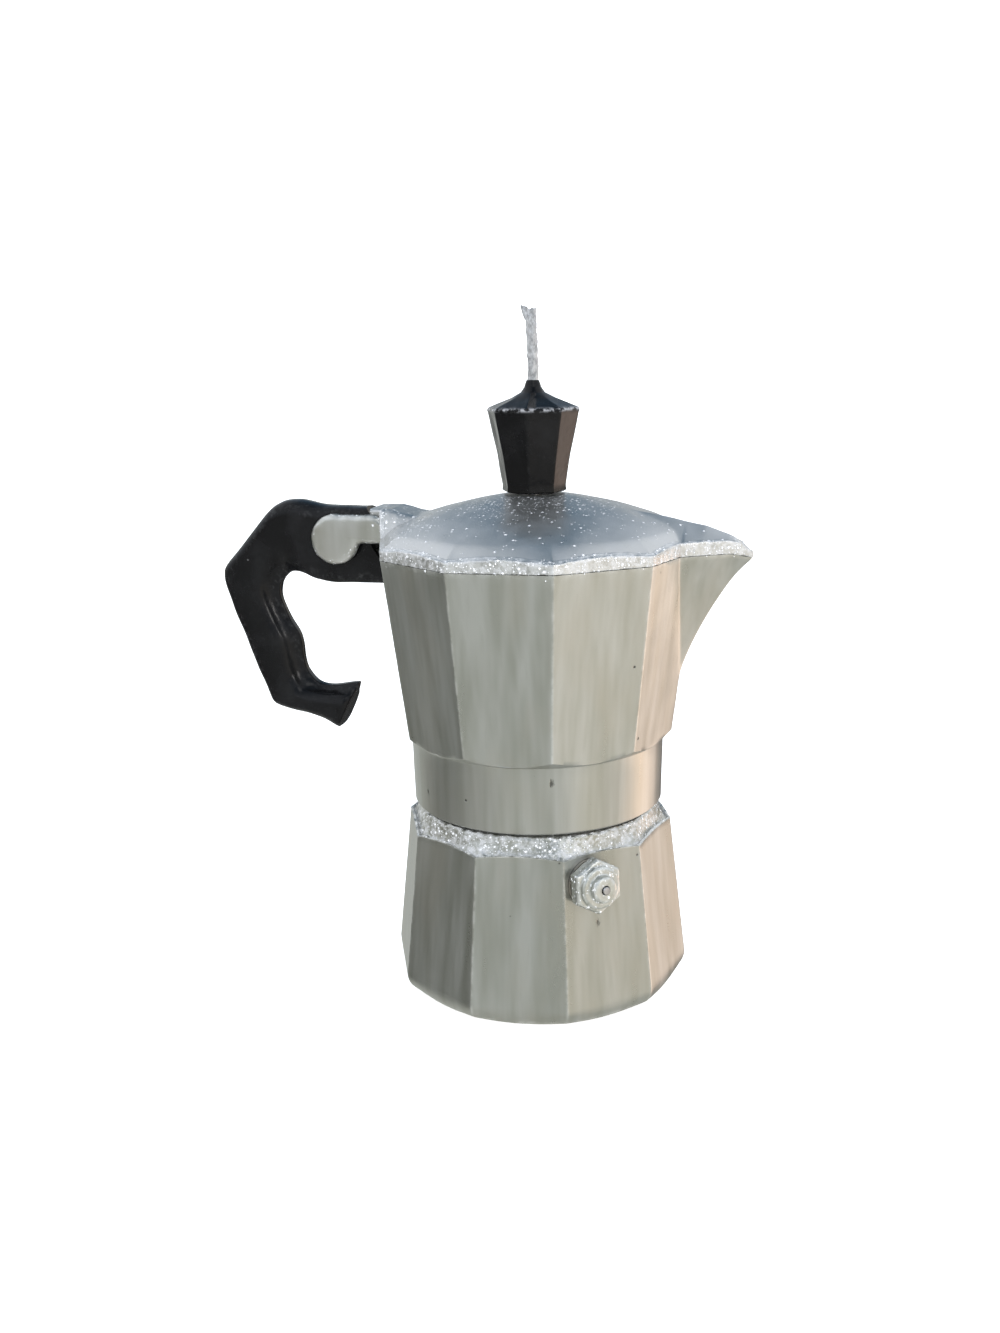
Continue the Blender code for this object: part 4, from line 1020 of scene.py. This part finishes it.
def knob_grid(columns=240):
    """A flared outline whose sides are flat, and whose low cone turns round as it climbs to the middle."""
    angle = once_round(columns)
    outline = many_sided(angle, 8, 200)
    foot = [(0.8, 106.1, 4), (6.2, 106.1, 2), (6.75, 106.4, 2), (6.65, 107.4, 14), (7.7, 114.0, 16)]
    flare = [(9.45, 122.2, 2), (9.65, 122.7, 2), (9.45, 123.2, 2), (9.0, 123.4, 10), (4.6, 125.1, 6)]
    neck = [(2.5, 126.2, 5), (1.75, 127.3, 5), (1.5, 128.1, 3), (1.3, 128.6, 2), (0.9, 128.7, 1)]
    radius, height = run(foot + flare + neck, angle)
    flat_share = smooth_step(radius, 2.5, 6.0)
    radius = radius * (1 + flat_share * (outline - 1))
    points = polar(radius, height, angle + KNOB_TURN)
    points += 0.045 * lumps(points, 5, 71)[..., None] * (height < 129)[..., None]
    # The flare's top edge carries the frost and corner marks, which the black moulding turns into a painted
    # highlight line.
    climb = np.exp(-(((height - 123.0) / 0.3) ** 2))
    sides = (height > 107) & (height < 122.6)
    marks = {"frost": climb, "corner": np.clip(climb + sides * 0.5 * corner_mark(angle, 8, 0.03), 0, 1)}
    return points, marks


knob = grid_skin("knob_moulding", *knob_grid(), sharp=40)
knob.data.materials.append(black_moulding)
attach(knob, "lid")
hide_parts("knob")


# ---------------------------------------------------------------- wick
# A stiff silvered cord standing in the knob. Its strands are twisted together and part at the cut end.

WICK_FOOT_Z, WICK_TOP_Z = 126.0, 142.5


def wick_line(share):
    """The cord's middle: upright, with a slight sway that grows towards the top."""
    sway = 0.12 * np.sin(share * 5.0) - 0.55 * smooth_step(share, 0.8, 1.0)
    return np.stack([sway, 0.1 * np.sin(share * 7.0), WICK_FOOT_Z + (WICK_TOP_Z - WICK_FOOT_Z) * share], -1)


def wick_grid(rows=110, columns=36):
    """A tube with three lobes that wind round it, flattened and opened out over its last tenth."""
    share = np.linspace(0, 1, rows)[:, None]
    angle = once_round(columns)
    opened = smooth_step(share, 0.84, 1.0)
    radius = 1.08 + 0.05 * np.cos(3 * angle - 22 * share) + 0.03 * np.cos(7 * angle + 60 * share)
    wide, deep = radius * (1 + 0.45 * opened), radius * (1 - 0.35 * opened)
    line = wick_line(share[:, 0])[:, None]
    points = np.zeros((rows, columns, 3)) + line
    points[..., 0] += wide * np.cos(angle)
    points[..., 1] += deep * np.sin(angle)
    ragged = 0.55 * np.cos(2 * angle + 0.6) - 0.35 * np.cos(angle)
    points[..., 2] += opened * ragged * (share > 0.93)
    return points + 0.07 * lumps(points, 1.0, 81)[..., None]


def silvered_strand(name):
    """Twisted cotton under a broken silver coat, with the grey thread showing between the strands."""
    material, tree, shader = fresh_material(name)
    coat = object_noise(tree, (1, 1, 0.5), 1500, 4.0, 0.7)
    colour = blended(tree, between(tree, coat, 0.4, 0.6), (0.25, 0.25, 0.25, 1), (0.55, 0.55, 0.56, 1))
    tree.links.new(colour, shader.inputs["Base Color"])
    tree.links.new(between(tree, coat, 0.3, 0.7, 0.62, 0.32), shader.inputs["Roughness"])
    tree.links.new(between(tree, coat, 0.35, 0.65, 0.1, 0.6), shader.inputs["Metallic"])
    bumped(tree, shader, coat, 0.7, 0.00015)
    return material


wick = grid_skin("wick_cord", wick_grid())
strand_silver = silvered_strand("silvered_strand")
wick.data.materials.append(strand_silver)
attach(wick, "lid")
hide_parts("wick")


def frayed_end(name, lean_x, lean_y, length, thickness):
    """One loose strand at the cut end: a tapering tube that curls away from the cord."""
    share = np.linspace(0, 1, 9)[:, None]
    angle = once_round(7)
    top = wick_line(np.array([0.955]))[0]
    line_x = top[0] + lean_x * 0.55 + lean_x * share**1.6
    line_y = top[1] + lean_y * 0.4 + lean_y * share**1.6
    radius = thickness * (1 - 0.5 * share**2)
    line_z = top[2] + length * share + 0 * angle
    points = np.stack([line_x + radius * np.cos(angle), line_y + radius * np.sin(angle), line_z], -1)
    return grid_skin(name, points)


for strand, (lean_x, lean_y, length, thickness) in enumerate(
    [(-0.75, 0.2, 1.45, 0.45), (1.0, -0.15, 0.95, 0.5), (0.35, 0.5, 1.1, 0.35), (-0.3, -0.45, 1.3, 0.4)]
):
    frayed = frayed_end(f"wick_strand_{strand + 1}", lean_x, lean_y, length, thickness)
    frayed.data.materials.append(strand_silver)
    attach(frayed, "lid")


# ---------------------------------------------------------------- floor and light
# A plain pale floor that turns up all round, a cool panel behind, a faint front fill and a small highlight.
# The floor is left out of mirrored rays, so that the metal mirrors the room light that is defined below.


def bowl_grid(columns=96, rows=44):
    """A round floor, level out to 1.4 m, whose edge then turns up through a quarter circle of 0.9 m."""
    angle = once_round(columns)
    turn = np.linspace(0, math.pi / 2, 24)
    radius = np.concatenate([np.linspace(0.02, 1.35, rows - 24), 1.4 + 0.9 * np.sin(turn)])[:, None]
    height = np.concatenate([np.zeros(rows - 24), 0.9 * (1 - np.cos(turn))])[:, None]
    return polar(1000 * radius + 0 * angle, 1000 * height - 0.2, angle)


def open_sheet(name, grid):
    """A sheet over grid[row, column], in millimetres, closed round its columns and over its first row."""
    rows, columns = grid.shape[:2]
    row, column = np.meshgrid(np.arange(rows - 1), np.arange(columns), indexing="ij")
    beside = (column + 1) % columns
    quads = np.stack([row, row, row + 1, row + 1], -1) * columns
    quads += np.stack([column, beside, beside, column], -1)
    faces = quads[..., ::-1].reshape(-1, 4).tolist() + [list(range(columns))]
    mesh = bpy.data.meshes.new(name)
    mesh.from_pydata((grid / 1000).reshape(-1, 3).tolist(), [], faces)
    mesh.shade_smooth()
    return placed(name, mesh)


floor = open_sheet("floor", bowl_grid())
floor_paint, _, floor_shader = fresh_material("pale_floor")
floor_shader.inputs["Base Color"].default_value = (0.88, 0.88, 0.87, 1)
floor_shader.inputs["Roughness"].default_value = 0.8
floor_shader.inputs["Emission Color"].default_value = (1.0, 1.0, 1.0, 1)
floor_shader.inputs["Emission Strength"].default_value = 0.75
floor.visible_glossy = False
floor.visible_shadow = False
floor.data.materials.append(floor_paint)


def soft_panel(name, place, aim, size, power, colour):
    """A square area light that faces aim."""
    data = bpy.data.lights.new(name, "AREA")
    data.shape = "SQUARE"
    data.size = size
    data.energy = power
    data.color = colour
    obj = placed(name, data)
    toward = np.array(aim, float) - np.array(place, float)
    obj.matrix_world = Matrix.Translation(place) @ look_along(toward, 0.0)
    return obj


POT_MIDDLE = (0.0, 0.0, 0.07)
sky_panel = soft_panel("sky", (-0.15, 0.5, 1.1), POT_MIDDLE, 0.9, 3.5, (0.86, 0.93, 1.0))
sky_panel.visible_glossy = False
soft_panel("front_fill", (0.35, -0.9, 1.0), POT_MIDDLE, 0.5, 1.5, (1.0, 0.98, 0.95))
soft_panel("highlight", (0.55, -0.45, 0.32), (-0.05, 0.0, 0.08), 0.1, 0.25, (1.0, 0.97, 0.93))


def room_light():
    """Surroundings for the metal to mirror: dim at the left, warm and bright at the right, cool overhead.

    Along the horizon the colour follows x + 0.35 y of the direction. Upwards it gives way to a cool sky,
    which is dark blue along a band from front to back overhead and bright towards either side.
    """
    world = bpy.data.worlds.new("studio")
    world.use_nodes = True
    tree = world.node_tree
    toward = node(tree, "ShaderNodeTexCoord").outputs["Generated"]
    parts = node(tree, "ShaderNodeSeparateXYZ", {"Vector": toward}).outputs
    across = maths(tree, "ADD", parts["X"], times(tree, parts["Y"], 0.35))
    ramp = node(tree, "ShaderNodeValToRGB", {"Fac": between(tree, across, -1.06, 1.06)})
    stops = [(0.0, (0.4, 0.4, 0.37)), (0.12, (0.44, 0.44, 0.41)), (0.25, (0.6, 0.63, 0.6))]
    stops += [(0.6, (0.74, 0.75, 0.73)), (0.8, (1.15, 1.08, 0.95)), (0.95, (0.8, 0.75, 0.67))]
    ramp.color_ramp.elements[0].position, ramp.color_ramp.elements[1].position = 0.0, 1.0
    ramp.color_ramp.elements[0].color = stops[0][1] + (1,)
    ramp.color_ramp.elements[1].color = stops[-1][1] + (1,)
    for position, colour in stops[1:]:
        ramp.color_ramp.elements.new(position).color = colour + (1,)
    sideways = maths(tree, "ADD", times(tree, parts["X"], 0.97), times(tree, parts["Y"], 0.24))
    off_middle = maths(tree, "ABSOLUTE", maths(tree, "SUBTRACT", sideways, 0.03), 0.0)
    sky = blended(tree, between(tree, off_middle, 0.1, 0.5), (0.1, 0.19, 0.29, 1), (1.1, 1.16, 1.25, 1))
    mixed = blended(tree, between(tree, parts["Z"], 0.1, 0.35), ramp.outputs["Color"], sky)
    for aim, colour, wide, narrow in (
        ((0.661, 0.585, -0.469), (2.3, 1.8, 1.5, 1), 0.88, 0.97),
        ((-0.88, -0.09, -0.469), (0.12, 0.125, 0.11, 1), 0.86, 0.97),
        ((0.12, 0.88, -0.44), (0.1, 0.1, 0.1, 1), 0.8, 0.93),
    ):
        facing = node(tree, "ShaderNodeVectorMath", {0: toward, 1: aim}, operation="DOT_PRODUCT")
        facing = facing.outputs["Value"]
        mixed = blended(tree, between(tree, facing, wide, narrow), mixed, colour)
    below = between(tree, parts["Z"], -0.5, -0.8)
    mixed = blended(tree, below, mixed, (0.55, 0.56, 0.52, 1))
    tree.links.new(mixed, tree.nodes["Background"].inputs["Color"])
    tree.nodes["Background"].inputs["Strength"].default_value = 1.0
    bpy.context.scene.world = world


room_light()
bpy.context.scene.view_settings.view_transform = "Standard"
